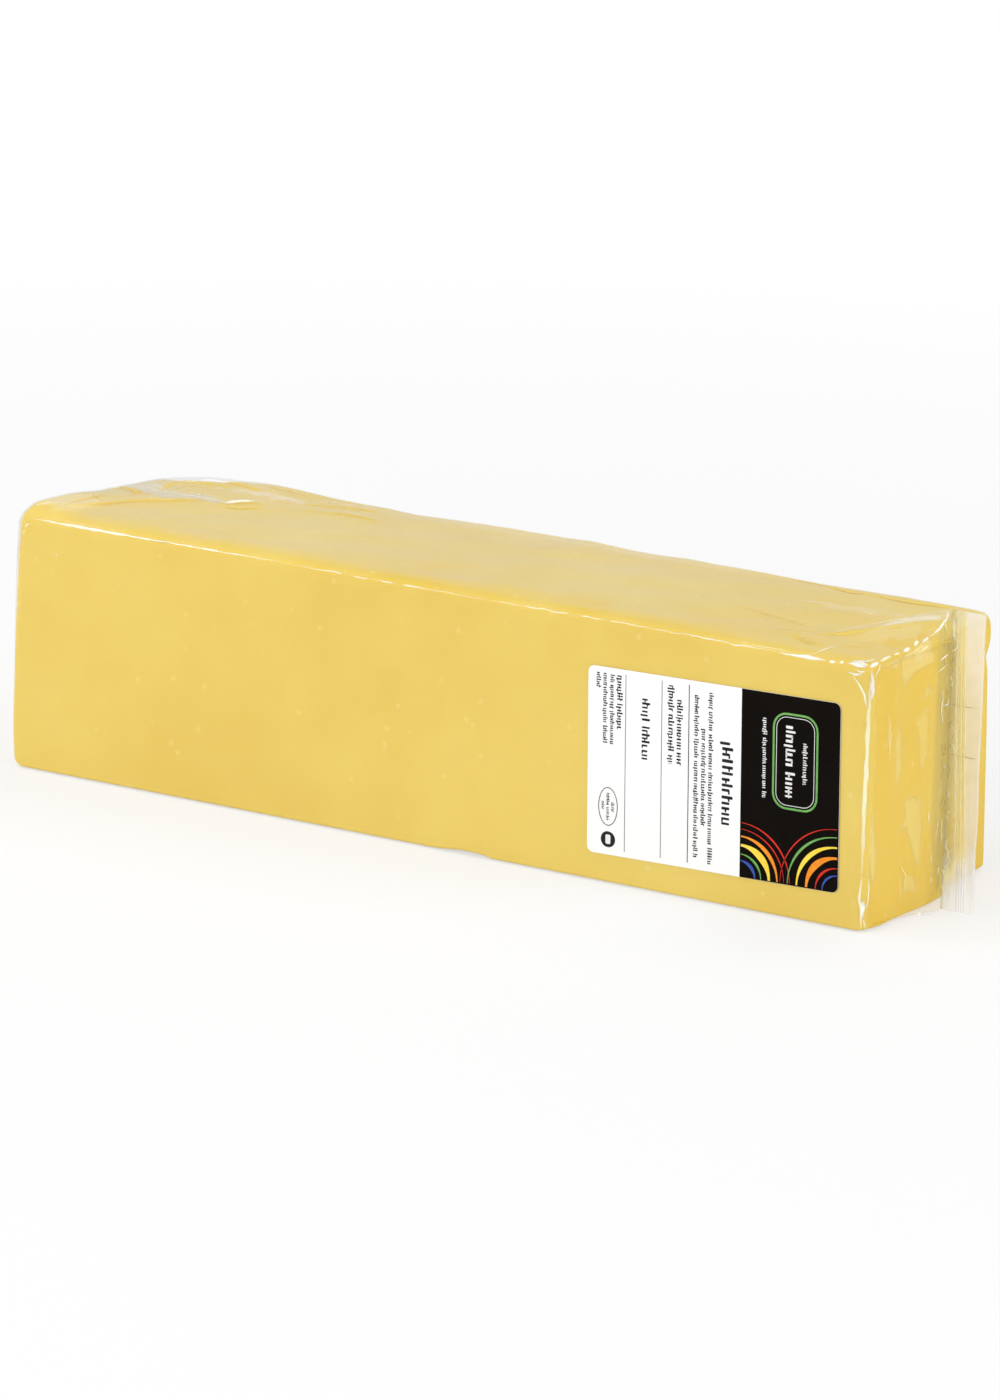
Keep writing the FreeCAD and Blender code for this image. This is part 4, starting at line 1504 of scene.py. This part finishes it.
# The fold lines by face, in the order that they are laid, from the long edges over the worn end, the
# tent and the sealed end to its seal: path, then width, cover and tint of the cloud, waver and breaks.
# Pale lines are painted highlights; deep-yellow lines (tint 0) and olive ones (tint near 0.3) are
# painted shade.
FOLD_ROWS = (
    (Face.TOP_EDGE, (
        (((-169, 0.4), (-160, 0.3), (-145, 0.2), (-128, 0.2), (-108, 0.2)), 1.6, 1.0, 0.88, 0.1),
        (((-128, 0.2), (-95, 0.2), (-62, 0.2)), 1.0, 0.85, 0.9, 0.1, 0.3),
        (((-62, 0.2), (-20, 0.2), (20, 0.2)), 0.8, 0.75, 0.9, 0.15, 0.85),
        (((10, 0.3), (60, 0.2), (110, 0.2)), 0.8, 0.7, 0.85, 0.15, 0.7),
        (((96, 0), (120, 0.2), (141, 0.1)), 0.9, 0.75, 0.9, 0.3, 0.3),
        (((139, 0.1), (148, 0.2), (158, 0.1)), 1.7, 0.95, 1.0, 0.25),
        (((158.6, 0), (160, 0.1), (161.4, 0)), 1.9, 1.0, 1.0, 0.1),
        (((162.6, -0.3), (163.4, -0.3), (164.6, -0.2)), 1.4, 1.0, 1.0, 0.1),
        (((165.6, -0.4), (168.5, -0.4), (173.5, 0.2)), 1.8, 0.95, 1.0, 0.2),
        (((120, -0.9), (135, -0.6), (150, -1.0)), 0.7, 0.5, 0.8, 0.3, 0.5),
        (((-168, -1.2), (-150, -1.0), (-128, -1.2)), 0.5, 0.35, 0.8, 0.3, 0.6),
    )),
    (Face.TOP, (
        (((-160, -31), (-154.6, -20), (-149.8, -12.7), (-142.5, -7.2), (-133.7, -0.7), (-125, 6.3)),
         3.0, 0.8, 0.0, 0.4),
        (((-162.9, -30.8), (-162.3, -19.2), (-161.4, -11.9), (-159.9, -6.2)), 2.0, 0.6, 0.0, 0.4),
        (((-165.3, -10.7), (-160.7, -13.6), (-156.1, -16.6)), 1.2, 0.6, 0.0, 0.3),
        (((-172, 10.2), (-168.6, 11.6), (-162.1, 9.6), (-153, 2.6), (-154.5, -4.6)), 1.8, 0.75, 0.0, 0.3),
        (((-148, 10.9), (-152, 20.2), (-151, 27.1), (-143.2, 28.6), (-134.9, 29.4)), 2.0, 0.7, 0.0, 0.3),
        (((-146, 14.9), (-145, 22.2), (-138, 23.1), (-130.2, 22.6)), 1.6, 0.35, 0.0, 0.3),
        (((-159.4, 24.2), (-161.4, 31.3), (-158.2, 35.7)), 1.2, 0.4, 0.0, 0.3),
        (((-140.6, 10.5), (-136.6, 12.3), (-131.8, 12)), 2.6, 0.4, 0.0, 0.3),
        (((-141.6, 36.7), (-131.6, 35), (-121.3, 31)), 3.4, 0.5, 0.0, 0.4),
        (((-124, 38), (-112, 38), (-100.3, 36)), 2.6, 0.4, 0.0, 0.4),
        (((-133.9, 11.8), (-133, 12.2), (-132.2, 12.3)), 1.8, 1.0, 1.0, 0.1),
        (((-152.4, 9.8), (-151.2, 10.5), (-150.2, 11.2)), 1.1, 0.9, 1.0, 0.1),
        (((-168, 14), (-158, 16), (-150, 11), (-143, 8)), 0.9, 0.6, 1.0, 0.4, 0.4),
        (((-163, 21), (-154, 18), (-146, 12)), 0.8, 0.5, 1.0, 0.4, 0.4),
        (((-142, 5.5), (-134, 8.5), (-124, 8), (-117, 6.4)), 1.4, 0.6, 1.0, 0.4, 0.3),
        (((-118, 5.4), (-114, 9.4), (-108.8, 14)), 4.6, 1.0, 0.92, 0.15),
        (((-115.9, 2.2), (-110.3, 3.5), (-105.4, 8)), 2.4, 0.85, 0.0, 0.3),
        (((-92.6, 26.6), (-84.4, 31), (-71.7, 33.6)), 3.2, 0.55, 0.0, 0.5),
        (((-86.5, 19), (-76, 21), (-64.3, 21)), 3.2, 0.42, 0.0, 0.5),
        (((-99, 33), (-88, 37), (-72, 39)), 2.2, 0.35, 0.95, 0.5),
        (((-171.2, -40.5), (-168, -37.5), (-163.5, -31.5)), 0.9, 0.6, 0.95),
    )),
    (Face.FRONT, (
        (((-171.5, 90.5), (-170, 92.2), (-168.6, 92)), 0.9, 0.7, 0.9, 0.2),
        (((-172.5, 88), (-171.3, 89.6), (-170.4, 89.4)), 0.6, 0.5, 0.9, 0.2),
        (((-158.2, 82.3), (-157.4, 82.6), (-156.6, 83)), 0.8, 0.6, 0.9, 0.1),
    )),
    (Face.TOP, (
        (((146, -18.2), (151.4, -14.2), (157.2, -10.2), (167, -4.6), (180, 3.6)), 0.8, 0.5, 0.95, 0.2),
        (((144, -20.4), (148, -18.6), (152, -16.8), (157, -14.8)), 2.0, 0.6, 0.0, 0.3),
        (((157, -14), (165, -10.6), (173, -7.4)), 1.3, 0.42, 0.0, 0.2),
        (((141, -19), (133, -21), (126, -25)), 1.6, 0.3, 0.0, 0.4),
        (((150.4, -44.1), (152.7, -41.2), (154.9, -31.4)), 0.9, 0.65, 1.0),
        (((154.8, -31), (158, -29), (162, -27.6)), 1.4, 0.3, 0.0),
        (((140.4, 12.5), (143.7, 13.7), (147.2, 14.4)), 1.7, 0.45, 1.0),
        (((112.3, 14.4), (121, 15.6), (130.1, 15.1)), 1.5, 0.35, 1.0),
        (((137.2, -28.3), (142, -31), (147.7, -33.6)), 5.0, 0.32, 0.0, 0.5),
        (((106, -8), (120, -10), (134, -13)), 4.0, 0.22, 0.0, 0.8),
        (((134, 36.4), (147.1, 37.4), (160.5, 39)), 4.0, 1.0, 0.0, 0.3),
        (((116.1, 38.6), (124, 37), (129.6, 37.4)), 3.6, 0.9, 0.0, 0.3),
        (((96, 40), (106, 41), (115, 41)), 2.6, 0.4, 0.0, 0.3),
    )),
    (Face.RIM, (
        (((-44.4, -0.2), (-42, 0.1), (-39.4, 0.2)), 2.6, 1.0, 1.0, 0.1),
        (((-38.6, 0.4), (-35, 0.9), (-30.8, 1.0)), 2.4, 0.9, 0.82, 0.2),
        (((-29.4, 1.0), (-27.4, 1.0), (-24.8, 0.8)), 1.6, 1.0, 0.82, 0.1),
        (((-23, 0.4), (-21, 0.6), (-18.8, 0.2)), 2.0, 1.0, 0.95, 0.1),
        (((-17, -0.8), (-15.4, -0.4), (-14, -0.8)), 2.4, 1.0, 0.95, 0.1),
        (((-13.2, -1.5), (-11.2, -1.7), (-9.2, -2.2)), 2.4, 1.0, 0.97, 0.1),
        (((-9.2, -2.2), (-4, -2.2), (0.6, -1.2), (3.4, 0.2)), 1.5, 0.95, 1.0, 0.1),
        (((-14.6, -4.6), (-12, -4.6), (-9, -4.6)), 0.9, 0.8, 0.82, 0.1),
    )),
    (Face.UPRIGHT, (
        (((19, -0.2), (40, -0.3), (62, 0), (82, 0.1), (94, 0.3)), 2.5, 0.85, 0.8, 0.18),
        (((0.6, 0.3), (6, 0.2), (12, -0.6), (21, -0.3)), 1.6, 0.85, 0.85, 0.2),
    )),
    (Face.FRONT, (
        (((167.6, 91.6), (170.6, 88.6), (173.2, 84.6), (174.2, 80)), 1.2, 0.9, 0.85, 0.15),
    )),
    (Face.TOP_EDGE, (
        (((166.5, -1.2), (170, -1.6), (174, -0.8)), 2.4, 0.8, 1.0, 0.3),
    )),
    (Face.TOP, (
        (((167, -43.4), (170.5, -41.8), (174, -41.2)), 1.6, 0.7, 0.95, 0.3),
        (((170, -42.6), (172.5, -40.2), (173.4, -37)), 1.2, 0.7, 0.95, 0.3),
    )),
    (Face.FRONT, (
        (((166, 91.8), (169.5, 91), (172.5, 92.2)), 1.2, 0.85, 0.95, 0.2),
        (((169.5, 93.2), (171.5, 92.6), (173.4, 93.2)), 1.1, 0.9, 1.0, 0.2),
    )),
    (Face.END, (
        (((-44, 94), (-43.4, 89), (-44.2, 82)), 2.0, 0.75, 1.0, 0.3),
        (((-42.6, 90), (-40.8, 93), (-39.4, 95.5)), 1.0, 0.85, 1.0, 0.2),
        (((-43.6, 20.6), (-41.6, 15), (-42.5, 10.4), (-44, 7.5)), 1.1, 0.85, 0.85, 0.2),
    )),
    (Face.UPRIGHT, (
        (((5, 0.5), (8, 0.6), (11.5, 0.4)), 2.4, 1.0, 1.0, 0.2),
    )),
    (Face.END, (
        (((-44.2, 5.2), (-43.4, 3), (-42.8, 0.9)), 0.8, 0.7, 0.85, 0.1),
        (((-35.6, 77), (-33.8, 68), (-34.9, 60.1)), 0.5, 0.7, 0.8, 0.1),
        (((-35.6, 77), (-34.9, 66), (-33.4, 57)), 0.5, 0.7, 0.8, 0.1),
        (((-23.6, 21.5), (-23.4, 18.5), (-20.6, 15.4), (-20.8, 8.9)), 0.6, 0.7, 0.8, 0.1),
        (((-23.3, 17.8), (-24.2, 12.6), (-22.5, 6)), 0.5, 0.6, 0.8, 0.1),
        (((-7.2, 36.5), (-7.4, 33), (-7.6, 30.6)), 1.1, 0.7, 0.78, 0.1),
        (((-4.5, 19.8), (-4.3, 17.6), (-4.1, 15.6)), 1.0, 0.6, 0.78, 0.1),
        (((-3.9, 11.9), (-3.8, 10.6), (-3.6, 9.3)), 1.0, 0.5, 0.78, 0.1),
        (((-12.6, 0.6), (-11.4, 1.0), (-9.6, 1.6)), 1.2, 0.9, 0.9, 0.1),
        (((-4, 88.4), (-1.2, 89.2), (3, 90)), 1.2, 0.95, 0.85, 0.1),
    )),
    (Face.SEAL, (
        (((180.7, 90.2), (182, 91.2), (183, 93)), 1.2, 0.95, 0.85, 0.1),
    )),
    (Face.END, (
        (((-6, 84.6), (-1.0, 85.6), (3, 86.6)), 0.8, 0.7, 0.8, 0.1),
        (((-0.4, 95.4), (1.6, 94.2), (4, 93.4)), 1.8, 0.6, 0.0, 0.1),
    )),
    (Face.SEAL, (
        (((181.2, 103.2), (181.4, 98), (181.8, 94)), 2.4, 0.55, 0.85, 0.2),
    )),
    (Face.END, (
        (((0.5, 71.3), (2.5, 71.6), (4.2, 71.4)), 1.1, 0.95, 1.0, 0.2),
        (((-0.8, 53.6), (1.8, 53.8), (4.2, 53.6)), 0.5, 0.5, 0.27, 0.1),
    )),
    (Face.SEAL, (
        (((180.7, 71.3), (183, 71.4), (187, 71.4), (192.8, 71.6)), 0.6, 0.8, 0.27, 0.08),
        (((180.7, 53.4), (183, 53.4), (187, 53.3), (192.8, 53.5)), 0.6, 0.8, 0.27, 0.08),
        (((182.3, 104.5), (182.3, 80), (182.3, 50), (182.3, 4)), 0.7, 0.85, 0.9, 0.08),
        (((183.2, 104.5), (183.2, 60), (183.2, 3)), 0.4, 0.35, 0.3, 0.05, 0.3),
        (((184.1, 104.5), (184.1, 60), (184.1, 3)), 0.45, 0.6, 0.85, 0.05, 0.3),
        (((184.9, 104.5), (184.9, 60), (184.9, 3)), 0.35, 0.35, 0.3, 0.05, 0.4),
        (((185.7, 104.5), (185.7, 60), (185.7, 3)), 0.5, 0.7, 0.95, 0.05, 0.2),
        (((193.1, 104), (193.1, 60), (193.1, 4)), 0.5, 0.6, 1.0, 0.05, 0.2),
    )),
)
FOLDS = tuple(Fold(face, *row) for face, rows in FOLD_ROWS for row in rows)


# ---------------------------------------------------------------- the label


def arc(centre: tuple[float, float], reach_u: Array, reach_v: Array, turn: Array) -> Array:
    """Points of an oval arc: the centre plus each reach times the cosine or sine of the turn.

    Args:
        centre: u and v of its centre.
        reach_u: half its size along u.
        reach_v: half its size along v.
        turn: angles of the points, in radians.

    Returns:
        Points u, v.
    """
    return np.stack([centre[0] + reach_u * np.cos(turn), centre[1] + reach_v * np.sin(turn)], axis=1)


def rounded(left: float, right: float, low: float, high: float, corner: float,
            left_too: bool = True) -> Array:
    """Outline of a rectangle with rounded corners.

    Args:
        left: lowest u.
        right: highest u.
        low: lowest v.
        high: highest v.
        corner: radius of its corners.
        left_too: whether the two left corners are rounded too.

    Returns:
        Points u, v, counter-clockwise.
    """
    corner = min(corner, 0.49 * (right - left), 0.49 * (high - low))
    count = 7 if corner > 0.5 else 3
    places = []
    for k, (u, v) in enumerate(((right, high), (left, high), (left, low), (right, low))):
        radius = corner if left_too or k in (0, 3) else 1e-3
        centre = (u - radius if k in (0, 3) else u + radius, v - radius if k in (0, 1) else v + radius)
        turn = np.linspace(0.0, 0.5 * np.pi, count) + 0.5 * np.pi * k
        places.append(arc(centre, radius, radius, turn))
    return np.concatenate(places)


def ring_band(centre: tuple[float, float], reach: tuple[float, float], width: float) -> Array:
    """Outline of a closed oval band, cut open by a hair so that it is a single outline.

    Args:
        centre: u and v of its centre.
        reach: half its size along u and along v.
        width: width of the band.

    Returns:
        Points u, v: the outer oval, then the inner one backwards.
    """
    hair = 0.004
    turn = np.linspace(hair, 2.0 * np.pi - hair, 61)
    inner = arc(centre, reach[0] - width, reach[1] - width, turn)
    return np.concatenate([arc(centre, *reach, turn), inner[::-1]])


def frame_band(left: float, right: float, low: float, high: float, corner: float, width: float) -> Array:
    """Outline of a rounded rectangular band, cut open by a hair.

    Args:
        left: lowest u.
        right: highest u.
        low: lowest v.
        high: highest v.
        corner: radius of its outer corners.
        width: width of the band.

    Returns:
        Points u, v: the outer outline, the cut, then the inner one backwards.
    """
    hair = [0.002, -0.002]
    outer = rounded(left, right, low, high, corner)
    inner = rounded(left + width, right - width, low + width, high - width, corner - width)
    return np.concatenate([outer, outer[:1] + hair, inner[:1] + hair, inner[::-1]])


# Lines of writing on the label: middle, lower end, upper end and height of the letters.
GREEKED_LINES = (
    (55.6, 16.4, 47.6, 4.4), (49.0, 2.7, 64.3, 1.9), (46.2, 16.2, 51.0, 1.9), (43.3, 4.2, 62.7, 1.9),
    (36.6, 36.4, 60.0, 2.4), (33.2, 36.6, 64.8, 2.4), (23.1, 36.6, 58.5, 3.2),
    (12.7, 45.0, 65.4, 2.3), (9.7, 40.2, 65.3, 1.8), (6.9, 40.4, 65.5, 1.8), (4.2, 58.3, 65.5, 1.8),
    (10.3, 15.9, 19.2, 1.3), (8.3, 12.6, 22.4, 1.3), (6.3, 15.9, 19.2, 1.3),
)

# The same for the light writing on the dark panel.
PANEL_LINES = ((70.2, 30.0, 58.5, 1.7), (80.2, 31.5, 57.0, 3.8), (86.0, 37.0, 51.5, 1.8))

# Coloured bands about the panel's lower left corner, then its lower right one: ink, radius, width.
LEFT_BANDS = ((Ink.RED, 19.5, 0.7), (Ink.RED, 17.2, 0.5), (Ink.ORANGE, 14.6, 1.5), (Ink.YELLOW, 11.4, 2.6),
              (Ink.GREEN, 8.2, 0.9), (Ink.BLUE, 5.8, 1.3))
RIGHT_BANDS = ((Ink.RED, 22.5, 0.5), (Ink.GREEN, 19.6, 0.9), (Ink.YELLOW, 16.0, 1.7), (Ink.ORANGE, 12.2, 2.4),
               (Ink.RED, 8.6, 0.9), (Ink.BLUE, 6.0, 0.8))


@dataclass
class Label:
    """The paper label on the front face, with its print laid on as thin shapes.

    Places on it are u along the block from its left edge and v up from its lower edge. The whole
    label is turned a little about its middle.
    """

    length: float = 99.5
    height: float = 67.7
    corner: float = 2.5
    middle: tuple[float, float] = (115.45, 45.25)
    turn: float = 1.3
    face: float = -45.08
    thick: float = 0.16
    sunk: float = 0.05
    panel_left: float = 60.9
    rule_ends: tuple[float, float] = (2.0, 66.0)

    def place(self, u: Array, v: Array, lift: float) -> Array:
        """Points in the part for places on the label.

        Args:
            u: place along the label.
            v: place up it.
            lift: distance in front of its back.

        Returns:
            One row of x, y, z to a point.
        """
        c, s = np.cos(np.radians(self.turn)), np.sin(np.radians(self.turn))
        du, dv = u - self.length / 2, v - self.height / 2
        return np.stack([self.middle[0] + du * c - dv * s, self.face - lift + 0.0 * du,
                         self.middle[1] + du * s + dv * c], axis=-1)

    def plate(self, name: str, outlines: Sequence[Array], ink: Ink, low: float,
              high: float) -> bpy.types.Object:
        """Make flat plates from outlines, each with a rim down to its back.

        Args:
            name: name of the piece.
            outlines: closed outlines of u, v, counter-clockwise seen from the front.
            ink: finish of the plates.
            low: height of their back over the label's back.
            high: height of their front.

        Returns:
            The piece.
        """
        points, faces, start = [], [], 0
        for outline in outlines:
            count = len(outline)
            points += [self.place(outline[:, 0], outline[:, 1], lift) for lift in (high, low)]
            ring = np.arange(count)
            after = (ring + 1) % count
            faces.append((start + ring).tolist())
            faces.append((start + count + ring[::-1]).tolist())
            faces += (start + np.stack([ring, ring + count, after + count, after], axis=1)).tolist()
            start += 2 * count
        return make_piece(name, np.concatenate(points), faces, ink.build(), smooth=False)

    def build(self) -> list[bpy.types.Object]:
        """Build the paper, then its print: each row is a name, its outlines, its ink and its lift.

        Returns:
            The pieces.
        """
        paper = self.plate("label_paper", [rounded(0, self.length, 0, self.height, self.corner)], Ink.PAPER,
                           0.0, self.thick)
        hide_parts("label")
        rim = 0.05
        panel = rounded(self.panel_left, self.length - rim, rim, self.height - rim, self.corner - rim,
                        left_too=False)
        prints = [
            ("label_panel", [panel], Ink.BLACK, 0.020),
            ("label_rules", [self.rule(14.84, 15.16), self.rule(29.24, 29.56)], Ink.RULE, 0.015),
            ("label_dark_rule", [self.rule(40.0, 40.35)], Ink.TEXT, 0.015),
            ("label_writing", self.writing(GREEKED_LINES, 4), Ink.TEXT, 0.018),
            ("label_oval", [ring_band((8.3, 17.5), (3.9, 7.0), 0.32)], Ink.TEXT, 0.018),
            ("label_disc", [rounded(5.5, 11.3, 2.7, 8.5, 2.9)], Ink.TEXT, 0.018),
            ("label_disc_mark", [rounded(7.4, 9.4, 3.9, 7.3, 0.5)], Ink.PRINT_WHITE, 0.026),
            ("panel_writing", self.writing(PANEL_LINES, 9), Ink.PRINT_WHITE, 0.030),
            ("panel_frame", [frame_band(73.2, 91.0, 27.0, 61.5, 5.5, 0.75)], Ink.GREEN, 0.030),
            ("panel_frame_line", [frame_band(74.6, 89.6, 28.4, 60.1, 4.2, 0.22)], Ink.PRINT_WHITE, 0.030),
        ]
        for ink, shapes in self.bands().items():
            prints.append(("panel_" + ink.name.lower() + "_bands", shapes, ink, 0.026 + 0.002 * len(prints)))
        low = self.thick - self.sunk
        return [paper, *(self.plate(name, shapes, ink, low, self.thick + lift)
                         for name, shapes, ink, lift in prints)]

    def rule(self, left: float, right: float) -> Array:
        """Outline of a ruled line up the label."""
        return rounded(left, right, *self.rule_ends, 0.05)

    def bands(self) -> dict[Ink, list[Array]]:
        """Outlines of the panel's coloured bands.

        Each is a quarter ring about a lower corner of the panel, widest halfway by a squared sine.

        Returns:
            Outlines, by their ink.
        """
        quarter = np.linspace(0.02, 0.5 * np.pi - 0.02, 26)
        sides = ((LEFT_BANDS, (self.panel_left + 0.2, 0.2), quarter),
                 (RIGHT_BANDS, (self.length - 0.2, 0.2), quarter + 0.5 * np.pi))
        found: dict[Ink, list[Array]] = {}
        for rows, centre, turn in sides:
            for ink, radius, width in rows:
                half = 0.5 * width * (0.35 + 0.65 * np.sin(2.0 * turn) ** 2)
                outer = arc(centre, radius + half, radius + half, turn)
                inner = arc(centre, radius - half, radius - half, turn)
                found.setdefault(ink, []).append(np.concatenate([outer, inner[::-1]]))
        return found

    @staticmethod
    def writing(lines: Sequence[tuple[float, float, float, float]], seed: int) -> list[Array]:
        """Outlines of greeked writing: runs of small strokes in place of letters.

        Args:
            lines: middle, lower end, upper end and height of each line.
            seed: number that fixes the strokes.

        Returns:
            One outline to a stroke.
        """
        rng = np.random.default_rng(seed)
        outlines = []
        for u, low, high, size in lines:
            base, v = u - size / 2, high
            while v > low + size * 0.6:
                word = min(rng.uniform(2.2, 6.5) * size * 0.62, v - low)
                place = v
                while place > v - word:
                    wide = rng.uniform(0.19, 0.28) * size
                    tall = size * (1.0 if rng.random() < 0.25 else 0.72)
                    first = base - (0.2 * size if rng.random() < 0.1 else 0.0)
                    outlines.append(rounded(first, base + tall, max(place - wide, low), place, 0.08 * size))
                    if rng.random() < 0.6:
                        cross = base + rng.choice([0.0, 0.3, 0.58]) * size
                        end = max(place - wide - 0.2 * size, low - 0.3)
                        outlines.append(rounded(cross, cross + 0.15 * size, end, place - wide * 0.5,
                                                0.04 * size))
                    place -= wide + rng.uniform(0.15, 0.27) * size
                v -= word + 0.5 * size
        return outlines


# ---------------------------------------------------------------- the studio


@dataclass
class Studio:
    """Floor, soft light, white surroundings and the camera, all in metres."""

    lens: float = 200.0
    place: tuple[float, float, float] = (1.347246, -2.314673, 0.803589)
    turn: tuple[float, float, float] = (74.1574, -1.4436, 30.5477)
    mirror: float = 0.84
    fill: float = 0.42
    floor_reach: float = 6.0
    floor_low: float = -0.0004

    def camera(self) -> None:
        """Place a long lens as the object is usually seen: from the front right, a little above."""
        data = bpy.data.cameras.new("camera")
        data.lens, data.sensor_width, data.clip_end = self.lens, 36.0, 50.0
        made = bpy.data.objects.new("camera", data)
        made.location = self.place
        made.rotation_euler = np.radians(self.turn)
        bpy.context.scene.collection.objects.link(made)
        bpy.context.scene.camera = made

    @staticmethod
    def lamp(name: str, place: tuple[float, float, float], wide: float, high: float, power: float,
             mirrored: bool = False) -> None:
        """Add a soft rectangular lamp that faces the block.

        Args:
            name: name of the lamp.
            place: where it stands.
            wide: its width.
            high: its height.
            power: its power in watts.
            mirrored: whether clear reflections show it.
        """
        data = bpy.data.lights.new(name, "AREA")
        data.shape, data.size, data.size_y, data.energy = "RECTANGLE", wide, high, power
        made = bpy.data.objects.new(name, data)
        made.location = place
        made.visible_glossy = mirrored
        aim = Vector((0.0, 0.0, 0.05)) - Vector(place)
        made.rotation_euler = aim.to_track_quat("-Z", "Y").to_euler()
        bpy.context.scene.collection.objects.link(made)

    @staticmethod
    def white(tree: bpy.types.NodeTree, plain: bpy.types.NodeSocket, bright: bpy.types.NodeSocket,
              cover: object) -> bpy.types.NodeSocket:
        """Mix a bright shader over a plain one for what the camera and clear reflections see.

        Args:
            tree: nodes that the mix joins.
            plain: shader that lights the scene.
            bright: shader that is seen.
            cover: how much of the bright one is seen.

        Returns:
            The mixed shader.
        """
        path = add_node(tree, "ShaderNodeLightPath").outputs
        seen = maths(tree, "MAXIMUM", path["Is Camera Ray"], path["Is Glossy Ray"])
        seen = maths(tree, "MAXIMUM", seen, path["Is Transmission Ray"])
        return blend_shaders(tree, maths(tree, "MULTIPLY", seen, cover), plain, bright)

    def greyer(self, tree: bpy.types.NodeTree) -> bpy.types.NodeSocket:
        """White, or the grey that clear reflections see."""
        path = add_node(tree, "ShaderNodeLightPath").outputs
        return blend_colours(tree, path["Is Glossy Ray"], rgba((1.0, 1.0, 1.0)), rgba((self.mirror,) * 3))

    def surroundings(self) -> None:
        """White for the camera, a little greyer in reflections, grey for the light of the walls."""
        world = bpy.data.worlds.new("studio")
        bpy.context.scene.world = world
        world.use_nodes = True
        tree = world.node_tree
        tree.nodes.clear()
        fill = add_node(tree, "ShaderNodeBackground", {"Color": rgba((1.0, 1.0, 1.0)), "Strength": self.fill})
        bright = add_node(tree, "ShaderNodeBackground", {"Color": self.greyer(tree)})
        shown = self.white(tree, fill.outputs[0], bright.outputs[0], 1.0)
        add_node(tree, "ShaderNodeOutputWorld", {"Surface": shown})

    def floor(self) -> None:
        """A pale floor that keeps a soft shadow of the block, and turns white away from it."""
        mesh = bpy.data.meshes.new("floor")
        reach = self.floor_reach
        corners = ((-reach, -reach), (reach, -reach), (reach, reach), (-reach, reach))
        mesh.from_pydata([(x, y, self.floor_low) for x, y in corners], [], [(0, 1, 2, 3)])
        made = bpy.data.objects.new("floor", mesh)
        bpy.context.scene.collection.objects.link(made)
        material, tree = new_material("pale_floor")
        matt = add_node(tree, "ShaderNodeBsdfDiffuse", {"Color": rgba((0.9, 0.9, 0.9))})
        glow = add_node(tree, "ShaderNodeEmission", {"Color": self.greyer(tree)})
        far = add_node(tree, "ShaderNodeVectorMath", {0: object_place(tree)}, operation="LENGTH")
        cover = spread(tree, far.outputs["Value"], (0.25, 0.9), (0.62, 1.0))
        shown = self.white(tree, matt.outputs[0], glow.outputs[0], cover)
        add_node(tree, "ShaderNodeOutputMaterial", {"Surface": shown})
        mesh.materials.append(material)

    def build(self) -> None:
        """Set up the whole studio."""
        bpy.context.scene.view_settings.view_transform = "Standard"
        self.camera()
        self.surroundings()
        self.floor()
        self.lamp("front_softbox", (-0.5, -2.1, 1.15), 1.8, 1.4, 26.0)
        self.lamp("right_softbox", (2.2, 0.1, 0.8), 1.4, 1.2, 22.2)
        self.lamp("edge_softbox", (-0.75, -0.42, 1.3), 0.9, 0.7, 5.4, mirrored=True)
        self.lamp("top_softbox", (0.1, 0.9, 1.8), 1.5, 1.2, 7.2)


def report(pieces: Sequence[bpy.types.Object]) -> None:
    """Write each piece's name and number of faces to the log."""
    for piece in pieces:
        LOG.info("%s: %d faces", piece.name, len(piece.data.polygons))


def main() -> None:
    """Build the studio, the cheese, its film and its label, in that order."""
    logging.basicConfig(level=logging.INFO, format="%(name)s %(message)s")
    form = BlockForm()
    film = Film(form)
    Studio().build()
    report([Cheese(form).build(), film.build(), FoldLines(form, film).build()])
    finish = FilmFinish("seam_film").build()
    report([LongSeam(form).build(finish), FoldedSeal(form).build(finish)])
    report(Label().build())
    bpy.context.view_layer.update()


if __name__ == "__main__":
    main()
